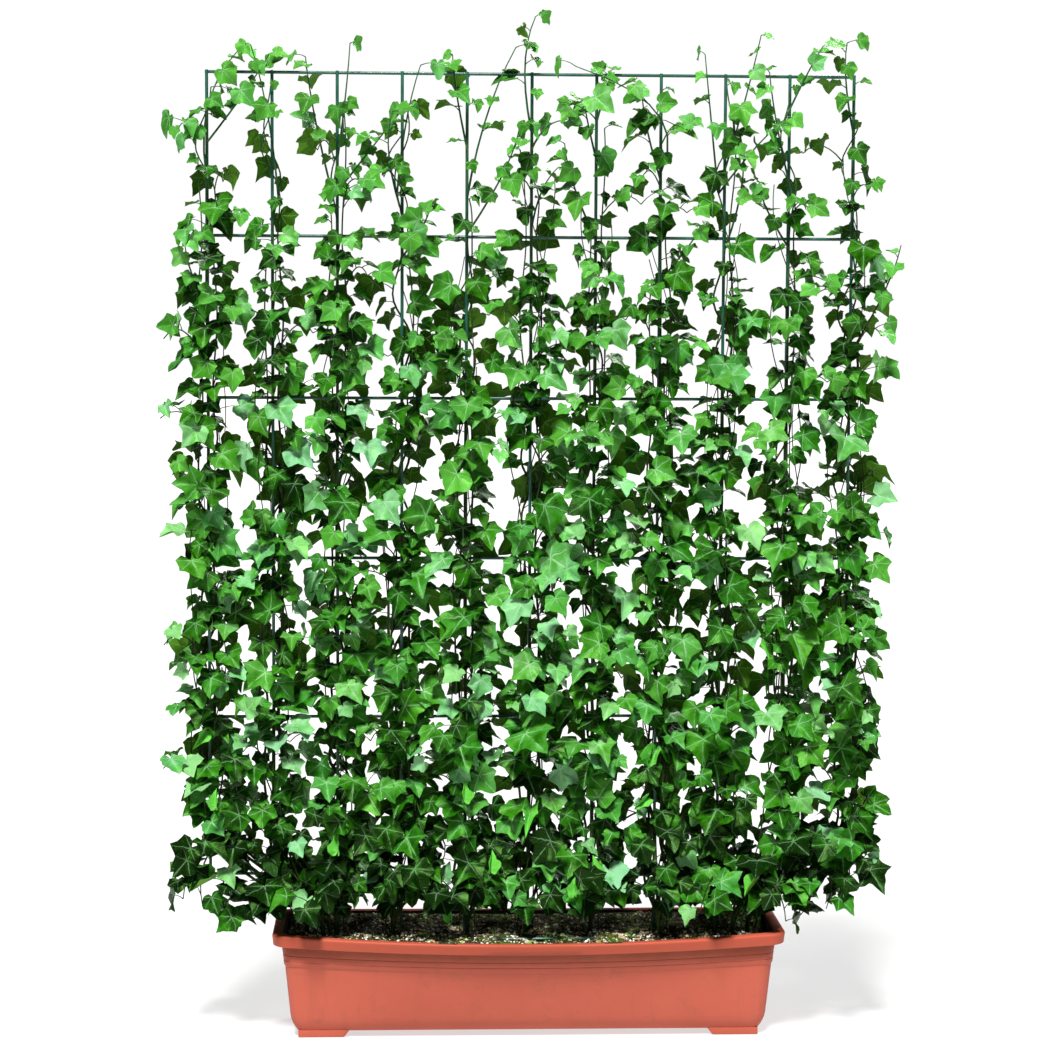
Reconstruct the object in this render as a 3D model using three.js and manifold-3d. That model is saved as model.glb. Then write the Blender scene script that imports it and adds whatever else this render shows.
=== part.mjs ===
// Ivy grown up a welded wire trellis that stands in a balcony trough.
// Millimetres, +Z up, the front looks towards -Y. The origin is on the ground, midway
// along the trough and midway through its depth.
//
// The trough, the soil, the trellis and the loose rod are one piece each. The ivy is one
// piece for each wire that it climbs: its twining stems, twigs, leaf stalks and lobed
// leaves are grown by a rule from a seeded draw and then fused.

import * as THREE from "three";
import { mergeVertices } from "three/addons/utils/BufferGeometryUtils.js";
import Module from "manifold-3d";

// Trellis: upright wires 100 mm apart, with cross wires welded to their backs.
const wirePitch = 100;
const wireCount = 11;
const wireRadius = 2.5;
const rowPitch = 250;
const rowCount = 6;
const lowestRow = 245;
const highestRow = lowestRow + rowPitch * (rowCount - 1);
const rowSetback = 4.1;
const rowOverhang = 3;
const legReach = 300;
const legFoot = 62;

// Trough: a thin moulded shell with a turned-down rim, bowed out by the weight of the soil.
const troughLength = 800;
const troughDepth = 190;
const rimTop = 168;
const rimSkirt = 18;
const rimOverhang = 12;
const wall = 3.2;
const bow = 30;
const rimSag = 9;
const cornerSteps = 3;
const sideSteps = 7;
const bodyBase = 10;
const stepHeight = 116;
const stepOut = 1.4;
const bottomInset = 30;
const skirtDraw = 2.4;
const topInset = 14;
const curveHeight = 26;
const footInner = 280;
const footOuter = 360;
const footHalfDepth = 66;

// Soil, and the coated rod that lies half sunk in it in front of the plants.
const soilTop = 151;
const soilGap = 0.8;
const holeGap = 0.4;
const holeLength = 140;
const rodLength = 210;
const rodRadius = 2.5;
const rodX = 45;
const rodY = -56;
const rodHeight = soilTop + 1.4;

// Ivy stems. Each vine has four strands, listed from the leader to the shortest.
const strandCount = 4;
const strandGirths = [3.2, 2.7, 2.4, 2.1];
const strandFans = [0, 13, -15, 24];
const strandSeats = [0, 62, -62, 96];
const strandTops = [[1440, 46], [1290, 190], [920, 460], [560, 300]];
const strandSpacings = [24, 27, 27, 30];
const tipGirth = 1.05;
const leaderHug = 7;
const followerHug = 9;
const turnChance = 0.34;
const turnSlack = 3;
const followerSlack = 4;
const looseReach = 7;
const seatDrift = 24;
const strandFoot = 162;
const crownDepth = 96;
const crownRadius = 3.4;
const crownHoleGap = 0.9;

// Leaves, and the stalks that carry them.
const bladeThickness = 0.8;
const stalkThickness = 1.1;
const stalkWidth = 1.3;
const stalkBase = 2.6;
const stalkClear = 3.2;
const rootHalf = 1.8;
const stemSides = 3;
const largeLeaf = 46;
const testGap = 0.3;

const wasm = await Module();
wasm.setup();

// A closed three.js geometry as a solid that can be joined and cut.
function solidFrom(geometry) {
  const bare = geometry.clone();
  bare.deleteAttribute("normal");
  bare.deleteAttribute("uv");
  const merged = mergeVertices(bare, 1e-5);
  const mesh = new wasm.Mesh({
    numProp: 3,
    vertProperties: new Float32Array(merged.attributes.position.array),
    triVerts: new Uint32Array(merged.index.array),
  });
  return new wasm.Manifold(mesh);
}

function geometryFrom(solid) {
  const mesh = solid.getMesh();
  const geometry = new THREE.BufferGeometry();
  const positions = new Float32Array(mesh.numVert * 3);
  for (let i = 0; i < mesh.numVert; i++) {
    for (let k = 0; k < 3; k++) positions[i * 3 + k] = mesh.vertProperties[i * mesh.numProp + k];
  }
  geometry.setAttribute("position", new THREE.BufferAttribute(positions, 3));
  geometry.setIndex(new THREE.BufferAttribute(new Uint32Array(mesh.triVerts), 1));
  geometry.computeVertexNormals();
  return geometry;
}

// Joins closed rings of points, all turning the same way, into one skin with flat ends.
// Rising and falling stretches are split along the same diagonals, so walls stay even.
function loft(rings) {
  const count = rings[0].length;
  const positions = [];
  const faces = [];
  for (const ring of rings) {
    for (const point of ring) positions.push(point.x, point.y, point.z);
  }
  for (let r = 0; r + 1 < rings.length; r++) {
    const rising = rings[r + 1][0].z > rings[r][0].z;
    for (let i = 0; i < count; i++) {
      const a = r * count + i;
      const b = r * count + ((i + 1) % count);
      if (rising) faces.push(a, b, a + count, b, b + count, a + count);
      else faces.push(a, b, b + count, a, b + count, a + count);
    }
  }
  const last = (rings.length - 1) * count;
  for (let i = 1; i + 1 < count; i++) {
    faces.push(0, i + 1, i);
    faces.push(last, last + i, last + i + 1);
  }
  const geometry = new THREE.BufferGeometry();
  geometry.setAttribute("position", new THREE.BufferAttribute(new Float32Array(positions), 3));
  geometry.setIndex(faces);
  return geometry;
}

// A number between 0 and 1 that depends only on the whole numbers given.
function draw(...keys) {
  let h = 0x9e3779b9;
  for (const key of keys) {
    h = Math.imul(h ^ (key + 0x7f4a7c15), 0x85ebca6b) >>> 0;
    h = (h ^ (h >>> 13)) >>> 0;
    h = Math.imul(h, 0xc2b2ae35) >>> 0;
    h = (h ^ (h >>> 16)) >>> 0;
  }
  return h / 4294967296;
}

function ease(t) {
  const s = Math.min(1, Math.max(0, t));
  return s * s * (3 - 2 * s);
}

function mix(a, b, t) {
  return a + (b - a) * t;
}

// A value from its least amount and its spread.
function within([least, spread], share) {
  return least + spread * share;
}

// Trough

// The level outline of the trough at a height: straight ends, round corners, bowed sides.
function troughRing(halfLength, halfDepth, corner, bulge, height, sag) {
  const straight = halfLength - corner;
  const points = [];
  const put = (x, y) => {
    const along = Math.min(1, Math.abs(x) / halfLength);
    points.push(new THREE.Vector3(x, y, height - sag * (1 - along * along)));
  };
  for (const side of [-1, 1]) {
    for (let i = 0; i <= cornerSteps; i++) {
      const angle = (i / cornerSteps) * (Math.PI / 2);
      const x = side * (-straight - corner * Math.cos(angle));
      const y = side * (halfDepth - corner + corner * Math.sin(angle));
      put(x, y);
    }
    for (let i = 1; i <= sideSteps; i++) {
      const share = i / sideSteps;
      const x = side * mix(-straight, straight, share);
      const y = side * (halfDepth + bulge * (1 - (2 * share - 1) ** 2));
      if (i < sideSteps) put(x, y);
    }
    for (let i = 0; i < cornerSteps; i++) {
      const angle = (i / cornerSteps) * (Math.PI / 2);
      const x = side * (straight + corner * Math.sin(angle));
      const y = side * (halfDepth - corner + corner * Math.cos(angle));
      put(x, y);
    }
  }
  return points.reverse();
}

// How far in from the rim's outer edge the body stands at a height.
function bodyInset(z) {
  const lean = mix(bottomInset, topInset, (z - bodyBase) / (rimTop - bodyBase));
  const bottomCurve = 8 * Math.max(0, 1 - (z - bodyBase) / curveHeight) ** 2;
  return lean + bottomCurve - (z > stepHeight ? stepOut : 0);
}

function troughSection(z, inset, shift = 0) {
  const share = (z - bodyBase) / (rimTop - bodyBase);
  const halfLength = troughLength / 2 - inset - shift;
  const halfDepth = troughDepth / 2 - inset * 0.82 - shift;
  const corner = Math.max(6, 26 - inset * 0.35 - shift);
  return troughRing(halfLength, halfDepth, corner, bow * share, z, rimSag * share);
}

// The inside of the trough runs straight between these heights.
const innerLevels = [bodyBase + wall, bodyBase + curveHeight, stepHeight, rimTop];
function innerInset(z) {
  if (z < stepHeight) return bodyInset(Math.max(z, bodyBase + 4));
  return mix(bodyInset(stepHeight), rimOverhang, (z - stepHeight) / (rimTop - stepHeight));
}

function makeTrough() {
  const skirtFoot = rimTop - rimSkirt;
  const rings = [
    troughSection(bodyBase, bodyInset(bodyBase)),
    troughSection(bodyBase + 10, bodyInset(bodyBase + 10)),
    troughSection(bodyBase + curveHeight, bodyInset(bodyBase + curveHeight)),
    troughSection(stepHeight, bodyInset(stepHeight)),
    troughSection(stepHeight + 2.5, bodyInset(stepHeight + 2.5)),
    troughSection(rimTop - wall, rimOverhang),
    troughSection(rimTop - wall, wall),
    troughSection(skirtFoot, wall + skirtDraw),
    troughSection(skirtFoot, skirtDraw),
    troughSection(rimTop - 1.5, 0),
    troughSection(rimTop, 1.5),
    ...innerLevels.map((z) => troughSection(z, innerInset(z), wall)).reverse(),
  ];
  let solid = solidFrom(loft(rings));
  for (const side of [-1, 1]) {
    const outline = new THREE.Shape([
      new THREE.Vector2(side * footInner, bodyBase + 1.5),
      new THREE.Vector2(side * (footInner + 9), 0),
      new THREE.Vector2(side * footOuter, 0),
      new THREE.Vector2(side * footOuter, bodyBase + 1.5),
    ]);
    const reach = { depth: 2 * footHalfDepth, bevelEnabled: false };
    const foot = new THREE.ExtrudeGeometry(outline, reach);
    foot.rotateX(Math.PI / 2);
    foot.translate(0, footHalfDepth, 0);
    solid = solid.add(solidFrom(foot));
  }
  return solid;
}

// Soil

// How much higher or lower than its mean level the soil lies at a place.
function lump(x, y) {
  const broad = Math.sin(x * 0.031 + 1) * Math.cos(y * 0.06);
  const narrow = Math.sin(x * 0.083 + y * 0.05);
  return 2.6 * broad + 1.6 * narrow;
}

// The soil fits the trough a hair inside its walls, with a crumbly, gently heaped top.
function makeSoil(crowns) {
  const gap = wall + soilGap;
  const edge = soilTop - 4;
  const rings = innerLevels.slice(0, 3).map((z) => troughSection(z + 0.5, innerInset(z), gap));
  rings.push(troughSection(edge, innerInset(edge), gap + 0.9));
  for (const shrink of [22, 64]) {
    const ring = troughSection(soilTop, innerInset(edge), gap + shrink);
    for (const point of ring) {
      const side = Math.sign(point.y);
      point.y = side * Math.max(Math.abs(point.y), 4);
      point.z = soilTop + lump(point.x, point.y) + (shrink - 22) * 0.05;
    }
    rings.push(ring);
  }
  let solid = solidFrom(loft(rings));
  const holeWidth = 2 * (wireRadius + holeGap);
  const legHole = new THREE.BoxGeometry(holeWidth, holeWidth, holeLength);
  for (let x = -legReach; x <= legReach; x += wirePitch) {
    const hole = legHole.clone();
    hole.translate(x, 0, legFoot - holeGap + holeLength / 2);
    solid = solid.subtract(solidFrom(hole));
  }
  for (const crown of crowns) {
    const radius = crownRadius + crownHoleGap;
    const hole = tube([
      { at: new THREE.Vector3(crown.x, crown.y, crownDepth - holeGap), radius },
      { at: new THREE.Vector3(crown.x, crown.y, rimTop), radius },
    ], 6);
    solid = solid.subtract(hole);
  }
  const bedRadius = rodRadius + holeGap;
  const bed = new THREE.CylinderGeometry(bedRadius, bedRadius, rodLength + 2 * holeGap, 8);
  bed.rotateZ(Math.PI / 2);
  bed.translate(rodX, rodY, rodHeight);
  return solid.subtract(solidFrom(bed));
}

function makeRod() {
  const rod = new THREE.CylinderGeometry(rodRadius, rodRadius, rodLength, 8);
  rod.rotateZ(Math.PI / 2);
  rod.translate(rodX, rodY, rodHeight);
  return solidFrom(rod);
}

// Trellis

const wireXs = [];
for (let i = 0; i < wireCount; i++) wireXs.push((i - (wireCount - 1) / 2) * wirePitch);
const rowZs = [];
for (let k = 0; k < rowCount; k++) rowZs.push(lowestRow + rowPitch * k);

function upright(x, low, high, radius) {
  const wire = new THREE.CylinderGeometry(radius, radius, high - low, 6);
  wire.rotateX(Math.PI / 2);
  wire.translate(x, 0, (low + high) / 2);
  return solidFrom(wire);
}

function crossWire(z, radius) {
  const half = wireXs[wireCount - 1] + rowOverhang;
  const wire = new THREE.CylinderGeometry(radius, radius, 2 * half, 6);
  wire.rotateZ(Math.PI / 2);
  wire.translate(0, rowSetback, z);
  return solidFrom(wire);
}

function makeTrellis(extra = 0) {
  const radius = wireRadius + extra;
  const parts = [];
  for (const x of wireXs) {
    const low = Math.abs(x) <= legReach ? legFoot : lowestRow - rowOverhang;
    parts.push(upright(x, low - extra, highestRow + rowOverhang + extra, radius));
  }
  for (const z of rowZs) parts.push(crossWire(z, radius));
  return wasm.Manifold.union(parts);
}

// Stems

// A tube through stations, each with its own radius. Its ends are flat.
function tubeRings(stations, sides) {
  const rings = [];
  let across = new THREE.Vector3(1, 0, 0);
  for (let i = 0; i < stations.length; i++) {
    const before = stations[Math.max(0, i - 1)].at;
    const after = stations[Math.min(stations.length - 1, i + 1)].at;
    const along = after.clone().sub(before).normalize();
    across = across.clone().addScaledVector(along, -across.dot(along)).normalize();
    const up = along.clone().cross(across);
    const ring = [];
    for (let k = 0; k < sides; k++) {
      const angle = (2 * Math.PI * k) / sides;
      ring.push(stations[i].at.clone()
        .addScaledVector(across, stations[i].radius * Math.cos(angle))
        .addScaledVector(up, stations[i].radius * Math.sin(angle)));
    }
    rings.push(ring);
  }
  return rings;
}

function tube(stations, sides) {
  return solidFrom(loft(tubeRings(stations, sides)));
}

// How many places a wire stands out past the last leg: 0 for a wire with a leg, 1 or 2 for
// the wires whose vines have to lean out to them.
function outRank(vine) {
  return Math.max(0, Math.round((Math.abs(wireXs[vine]) - legReach) / wirePitch));
}

// Where each vine comes out of the soil, and how high it meets its wire, by out rank.
const outerCrowns = [null, [322, -34], [348, -14]];
const meetHeights = [310, 325, 335];
function crownOf(vine) {
  const x = wireXs[vine];
  const rank = outRank(vine);
  if (rank > 0) return { x: Math.sign(x) * outerCrowns[rank][0], y: outerCrowns[rank][1] };
  return { x: x + 26 * (draw(vine, 11) - 0.5), y: -20 - 10 * draw(vine, 12) };
}

// The height that a strand of a vine reaches.
function strandTop(vine, strand) {
  return within(strandTops[strand], draw(vine, strand, 21));
}

// One strand of a vine. It leans from the crown to its wire and then winds round it,
// and it always passes in front of the cross wires.
function makeStrand(vine, strand) {
  const crown = crownOf(vine);
  const wireX = wireXs[vine];
  const meet = meetHeights[outRank(vine)];
  const top = strandTop(vine, strand);
  const fan = strandFans[strand];
  const seat = strandSeats[strand];
  const hug = strand === 0 ? leaderHug : followerHug;
  const anchors = [{ z: meet, angle: seat * 0.8, radius: hug + 2 }];
  for (const z of rowZs) {
    if (z > meet) {
      const lean = seat + seatDrift * (draw(vine, strand, z, 31) - 0.5);
      anchors.push({ z, angle: lean * (strand === 3 ? 0.75 : 1), radius: hug });
    }
  }
  anchors.push({ z: highestRow + rowPitch, angle: seat * 0.75, radius: hug });
  for (let k = 1; k < anchors.length; k++) {
    const pick = draw(vine, strand, k, 32);
    const turn = pick < turnChance / 2 ? -360 : pick < turnChance ? 360 : 0;
    anchors[k].turn = turn;
    const slack = (turn ? turnSlack : 0) + (strand === 0 ? 0 : followerSlack);
    anchors[k].loose = slack + looseReach * draw(vine, strand, k, 33);
  }
  const meetAngle = ((anchors[0].angle - 90) * Math.PI) / 180;
  const meetX = wireX + anchors[0].radius * Math.cos(meetAngle);
  const meetY = anchors[0].radius * Math.sin(meetAngle);
  const at = (z) => {
    if (z <= meet) {
      const t = ease((z - strandFoot) / (meet - strandFoot));
      const swell = Math.sin(Math.PI * t);
      return new THREE.Vector3(
        mix(crown.x, meetX, t) + fan * swell,
        mix(crown.y, meetY, t) - 0.25 * Math.abs(fan) * swell,
        z);
    }
    let k = 1;
    while (k + 1 < anchors.length && anchors[k].z < z) k++;
    const from = anchors[k - 1];
    const to = anchors[k];
    const share = (z - from.z) / (to.z - from.z);
    const angle = mix(from.angle, to.angle + to.turn, ease(share));
    const swing = Math.sin(Math.PI * share) ** 2;
    const radius = mix(from.radius, to.radius, ease(share)) + to.loose * swing;
    const turned = ((angle - 90) * Math.PI) / 180;
    return new THREE.Vector3(wireX + radius * Math.cos(turned), radius * Math.sin(turned), z);
  };
  const low = strand === 0 ? crownDepth : strandFoot - 4 + 5 * strand;
  const radiusAt = (z) => {
    const share = Math.min(1, Math.max(0, (z - strandFoot) / (top - strandFoot)));
    return mix(strandGirths[strand], tipGirth, share);
  };
  return { vine, strand, at, low, top, meet, radiusAt, anchors };
}

// The stations of a strand's tube: close together where it turns, far apart elsewhere.
const turnSteps = 6;
const plainSteps = 2;
const leanSteps = 3;
function strandMarks(strand) {
  const heights = strand.strand === 0 ? [crownDepth, strandFoot] : [strand.low];
  for (let i = 1; i <= leanSteps; i++) heights.push(mix(strandFoot, strand.meet, i / leanSteps));
  for (let k = 1; k < strand.anchors.length; k++) {
    const from = strand.anchors[k - 1].z;
    const to = strand.anchors[k].z;
    const plain = Math.max(1, Math.round(plainSteps * (to - from) / rowPitch));
    const steps = strand.anchors[k].turn ? turnSteps : plain;
    for (let i = 1; i <= steps; i++) {
      const z = mix(from, to, i / steps);
      if (z < strand.top - 18) heights.push(z);
    }
  }
  heights.push(strand.top);
  return heights;
}

// Twigs and free shoots are arcs from a strand: a start, a pull point and a tip.
function makeArc(vine, start, pull, tip, thick, leaves, key) {
  const at = (t) => {
    const a = (1 - t) * (1 - t);
    const b = 2 * t * (1 - t);
    const c = t * t;
    return new THREE.Vector3(
      a * start.x + b * pull.x + c * tip.x,
      a * start.y + b * pull.y + c * tip.y,
      a * start.z + b * pull.z + c * tip.z);
  };
  return { vine, at, thick, leaves, key };
}

// Free shoots: the wire that they leave, the height, the tip's place (across, forward, up),
// how far the pull point bows out, and how many leaves. Those with low tips hang at the foot.
const freeKey = 900;
const twigKey = 100;
const footKey = 600;
const twigLeaves = 3;
const footTwigs = 4;
const footTwigLeaves = 4;
const freeShoots = [
  { wire: 9, from: 250, tip: [396, -104, 190], bow: 12, leaves: 4 },
  { wire: 2, from: 1400, tip: [-280, -14, 1538], bow: 8, leaves: 3 },
  { wire: 2, from: 1420, tip: [-348, -16, 1517], bow: -12, leaves: 6 },
  { wire: 2, from: 1304, tip: [-197, -18, 1441], bow: 16, leaves: 6 },
  { wire: 3, from: 1290, tip: [-214, -36, 1434], bow: -24, leaves: 4 },
  { wire: 3, from: 1430, tip: [-172, -14, 1506], bow: -8, leaves: 2 },
  { wire: 4, from: 1377, tip: [-123, -16, 1522], bow: -10, leaves: 5 },
  { wire: 4, from: 1307, tip: [-26, -16, 1534], bow: -14, leaves: 4 },
  { wire: 4, from: 1250, tip: [-20, -18, 1412], bow: 30, leaves: 7 },
  { wire: 5, from: 1377, tip: [48, -14, 1424], bow: -6, leaves: 2 },
  { wire: 5, from: 1249, tip: [40, -16, 1352], bow: -12, leaves: 4 },
  { wire: 6, from: 1240, tip: [50, -16, 1388], bow: -22, leaves: 6 },
  { wire: 6, from: 1360, tip: [80, -14, 1453], bow: -8, leaves: 4 },
  { wire: 6, from: 1424, tip: [120, -14, 1500], bow: 6, leaves: 4 },
  { wire: 7, from: 1348, tip: [66, -36, 1504], bow: 112, leaves: 8 },
  { wire: 8, from: 1424, tip: [266, -14, 1526], bow: -4, leaves: 4 },
  { wire: 8, from: 1400, tip: [352, -16, 1556], bow: 10, leaves: 6 },
  { wire: 8, from: 1374, tip: [392, -18, 1430], bow: 6, leaves: 5 },
  { wire: 9, from: 1424, tip: [448, -14, 1540], bow: 6, leaves: 4 },
  { wire: 9, from: 1330, tip: [366, -14, 1500], bow: -14, leaves: 5 },
  { wire: 10, from: 1400, tip: [486, -12, 1546], bow: -16, leaves: 6 },
  { wire: 10, from: 1130, tip: [574, -20, 1236], bow: 26, leaves: 6 },
  { wire: 0, from: 1130, tip: [-532, -22, 1226], bow: -14, leaves: 4 },
  { wire: 0, from: 1385, tip: [-404, -16, 1520], bow: 24, leaves: 6 },
  { wire: 0, from: 1340, tip: [-452, -16, 1524], bow: -40, leaves: 7 },
  { wire: 1, from: 1384, tip: [-430, -36, 1532], bow: 10, leaves: 5 },
  { wire: 3, from: 1210, tip: [-158, -18, 1290], bow: 24, leaves: 5 },
  { wire: 7, from: 1330, tip: [168, -18, 1476], bow: -16, leaves: 5 },
  { wire: 7, from: 1180, tip: [262, -16, 1262], bow: 22, leaves: 6 },
  { wire: 9, from: 1230, tip: [352, -18, 1330], bow: -26, leaves: 6 },
  { wire: 8, from: 1230, tip: [322, -20, 1400], bow: 26, leaves: 5 },
  { wire: 0, from: 320, tip: [-540, -36, 214], bow: -14, leaves: 7 },
  { wire: 0, from: 300, tip: [-512, -12, 196], bow: -26, leaves: 6 },
  { wire: 0, from: 270, tip: [-470, -46, 184], bow: -34, leaves: 6 },
  { wire: 1, from: 250, tip: [-428, -52, 186], bow: -24, leaves: 6 },
  { wire: 10, from: 320, tip: [530, -40, 234], bow: 16, leaves: 7 },
  { wire: 10, from: 300, tip: [506, -14, 206], bow: 26, leaves: 6 },
  { wire: 10, from: 270, tip: [468, -48, 196], bow: 30, leaves: 6 },
  { wire: 9, from: 250, tip: [426, -56, 188], bow: 26, leaves: 6 },
  { wire: 5, from: 1410, tip: [4, -16, 1581], bow: -26, leaves: 5 },
  { wire: 2, from: 240, tip: [-362, -106, 190], bow: -10, leaves: 4 },
  { wire: 8, from: 250, tip: [262, -112, 208], bow: -10, leaves: 4 },
  { wire: 3, from: 340, tip: [-150, 142, 206], bow: 80, leaves: 4 },
  { wire: 7, from: 350, tip: [150, 140, 212], bow: -80, leaves: 4 },
];

function clearOfWires(points, margin) {
  for (const point of points) {
    for (const x of wireXs) {
      if (Math.hypot(point.x - x, point.y) < wireRadius + margin) return false;
    }
    for (const z of rowZs) {
      if (Math.hypot(point.z - z, point.y - rowSetback) < wireRadius + margin) return false;
    }
  }
  return true;
}

// Twigs: how far apart and how low they start, where they thin out, and their least length
// and rise, each with its spread. The foot twigs spread over the soil.
const twigSpacing = 52;
const lowestTwig = 215;
const thinAbove = 1180;
const thinShare = 0.3;
const twigLength = [32, 40];
const twigRise = [18, 30];
const twigFan = 2.1;
const twigThick = 1.2;
const shootThick = 1.5;
const shootArch = 22;
const shootFront = 6;
const footTwigHeight = [184, 34];
const footTwigLength = [34, 44];
const footTwigDepth = [-46, 104];
const footTwigRise = [20, 26];
const footTwigArch = 16;
const footTwigThick = 1.3;
const pathMargin = 3;
const twigAbove = 8;
const pathChecks = [0.25, 0.5, 0.75, 1];
function makeTwigs(vine, strands) {
  const arcs = [];
  freeShoots.forEach((shoot, i) => {
    if (shoot.wire !== vine) return;
    let from = shoot.from;
    while (strands[0].at(from).y > -5) from -= 6;
    const start = strands[0].at(from);
    const tip = new THREE.Vector3(...shoot.tip);
    const pull = start.clone().lerp(tip, 0.5);
    pull.x += shoot.bow;
    if (tip.y < 0) pull.y = Math.min(pull.y, tip.y) - shootFront;
    pull.z += shootArch;
    arcs.push(makeArc(vine, start, pull, tip, shootThick, shoot.leaves, freeKey + i));
  });
  const count = Math.floor((strands[0].top - lowestTwig) / twigSpacing);
  for (let i = 0; i < count; i++) {
    const z = lowestTwig + twigSpacing * (i + 0.7 * draw(vine, i, 41));
    if (z > thinAbove && draw(vine, i, 42) < thinShare) continue;
    const host = strands[Math.floor(strands.length * draw(vine, i, 43))];
    if (z < host.low + 20 || z > host.top - 20) continue;
    const start = host.at(z);
    const outward = Math.atan2(start.y, start.x - wireXs[vine]);
    const angle = outward + twigFan * (draw(vine, i, 44) - 0.5);
    const length = within(twigLength, draw(vine, i, 45));
    const rise = within(twigRise, draw(vine, i, 46));
    const tip = start.clone().add(
      new THREE.Vector3(length * Math.cos(angle), length * Math.sin(angle), rise * 0.4));
    const pull = start.clone().lerp(tip, 0.55);
    pull.z += rise;
    const arc = makeArc(vine, start, pull, tip, twigThick, twigLeaves, twigKey + i);
    const path = pathChecks.map((t) => arc.at(t));
    if (clearOfWires(path, pathMargin) && aboveTrough(path, twigAbove)) arcs.push(arc);
  }
  for (let i = 0; i < footTwigs; i++) {
    const start = strands[i % strands.length].at(within(footTwigHeight, draw(vine, i, 47)));
    const sideways = (i % 2 ? 1 : -1) * within(footTwigLength, draw(vine, i, 48));
    const depth = within(footTwigDepth, draw(vine, i, 49));
    const rise = within(footTwigRise, draw(vine, i, 50));
    const tip = start.clone().add(new THREE.Vector3(sideways, depth, rise));
    const pull = start.clone().lerp(tip, 0.5);
    pull.z += footTwigArch;
    const arc = makeArc(vine, start, pull, tip, footTwigThick, footTwigLeaves, footKey + i);
    if (clearOfWires(pathChecks.map((t) => arc.at(t)), pathMargin)) arcs.push(arc);
  }
  return arcs;
}

function aboveTrough(points, margin) {
  return points.every((point) => point.z > rimTop + margin
    || Math.abs(point.x) > troughLength / 2 + margin
    || Math.abs(point.y) > troughDepth / 2 + bow + margin);
}

// Leaves

// How a blade hangs: how far its normal turns outwards, sideways, to the front or back, and
// up, and how far its tip turns outwards, sideways and down.
const normalOut = 0.4;
const normalSide = 1.4;
const normalFront = [0.25, 0.8];
const normalUp = [0.15, 2.3];
const tipOut = 0.75;
const tipSide = 1.8;
const tipDown = 0.72;
const stalkLow = -0.15;
const stalkHigh = 0.3;
const stalkRise = 0.6;
const centreShare = 0.4;

// One leaf: its foot on the stem, where the stalk meets the blade, the blade's normal and
// its tip direction, and its size, which is both its length and its width.
function poseLeaf(vine, foot, outward, size, stalk, keys) {
  const jitter = (n) => draw(...keys, n) - 0.5;
  const radial = new THREE.Vector3(Math.cos(outward), Math.sin(outward), 0);
  const frontness = Math.abs(radial.y);
  const rise = mix(stalkLow, stalkHigh, frontness) + stalkRise * draw(...keys, 51);
  const reach = radial.clone().add(new THREE.Vector3(0, 0, rise)).normalize();
  const joint = foot.clone().addScaledVector(reach, stalk);
  const facing = joint.y < 3 ? -1 : 1;
  const normal = radial.clone().multiplyScalar(normalOut);
  normal.x += normalSide * jitter(52);
  normal.y += facing * within(normalFront, draw(...keys, 55));
  normal.z += within(normalUp, draw(...keys, 53) ** 2);
  normal.normalize();
  const tip = radial.clone().multiplyScalar(tipOut);
  tip.x += tipSide * jitter(54);
  tip.z -= tipDown;
  tip.addScaledVector(normal, -tip.dot(normal)).normalize();
  straightenTip(tip, normal, reach);
  const centre = joint.clone().addScaledVector(tip, centreShare * size);
  return { vine, foot, joint, normal, tip, size, centre, reach: 0.5 * size, keys };
}

// Turns the tip in the plane of the blade, so that the stalk runs on into the midrib
// without a sharp sideways kink.
const kinkLimit = 0.8;
function straightenTip(tip, normal, stalkWay) {
  const run = stalkWay.clone().addScaledVector(normal, -stalkWay.dot(normal));
  const share = run.length();
  if (share < 0.45) return;
  run.divideScalar(share);
  const side = run.clone().cross(normal);
  const sideways = tip.dot(side);
  const forward = tip.dot(run);
  const limit = Math.min(1, kinkLimit / share);
  if (forward > 0 && Math.abs(sideways) <= limit) return;
  const kept = Math.sign(sideways || 1) * Math.min(limit, Math.abs(sideways));
  tip.copy(side).multiplyScalar(kept).addScaledVector(run, Math.sqrt(1 - kept * kept));
}

// Whether the round field of a leaf cuts a wire, or reaches into the trough. Where the leaf
// stands edge on to the wire, its distance from the wire is enough.
const edgeOn = 0.02;
function leafBlocked(leaf) {
  const { centre, normal, reach } = leaf;
  const away = centre.clone();
  for (const x of wireXs) {
    if (Math.abs(centre.x - x) > reach + 4 || Math.abs(centre.y) > reach + 4) continue;
    if (Math.abs(normal.z) < edgeOn) {
      if (Math.abs(normal.x * (x - centre.x) - normal.y * centre.y) < 4) return true;
      continue;
    }
    const dz = -(normal.x * (x - centre.x) + normal.y * (0 - centre.y)) / normal.z;
    if (away.set(x - centre.x, -centre.y, dz).length() < reach + 5) return true;
  }
  for (const z of rowZs) {
    const back = rowSetback - centre.y;
    const rise = z - centre.z;
    if (Math.abs(rise) > reach + 4 || Math.abs(back) > reach + 4) continue;
    if (Math.abs(normal.x) < edgeOn) {
      if (Math.abs(normal.z * rise + normal.y * back) < 4) return true;
      continue;
    }
    const dx = -(normal.y * back + normal.z * rise) / normal.x;
    if (away.set(dx, back, rise).length() < reach + 5) return true;
  }
  const low = centre.clone();
  low.z -= reach;
  const inner = centre.clone();
  inner.y *= Math.max(0, 1 - reach / Math.max(1, Math.abs(centre.y)));
  inner.z -= reach;
  return !aboveTrough([low, inner], 4);
}

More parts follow.
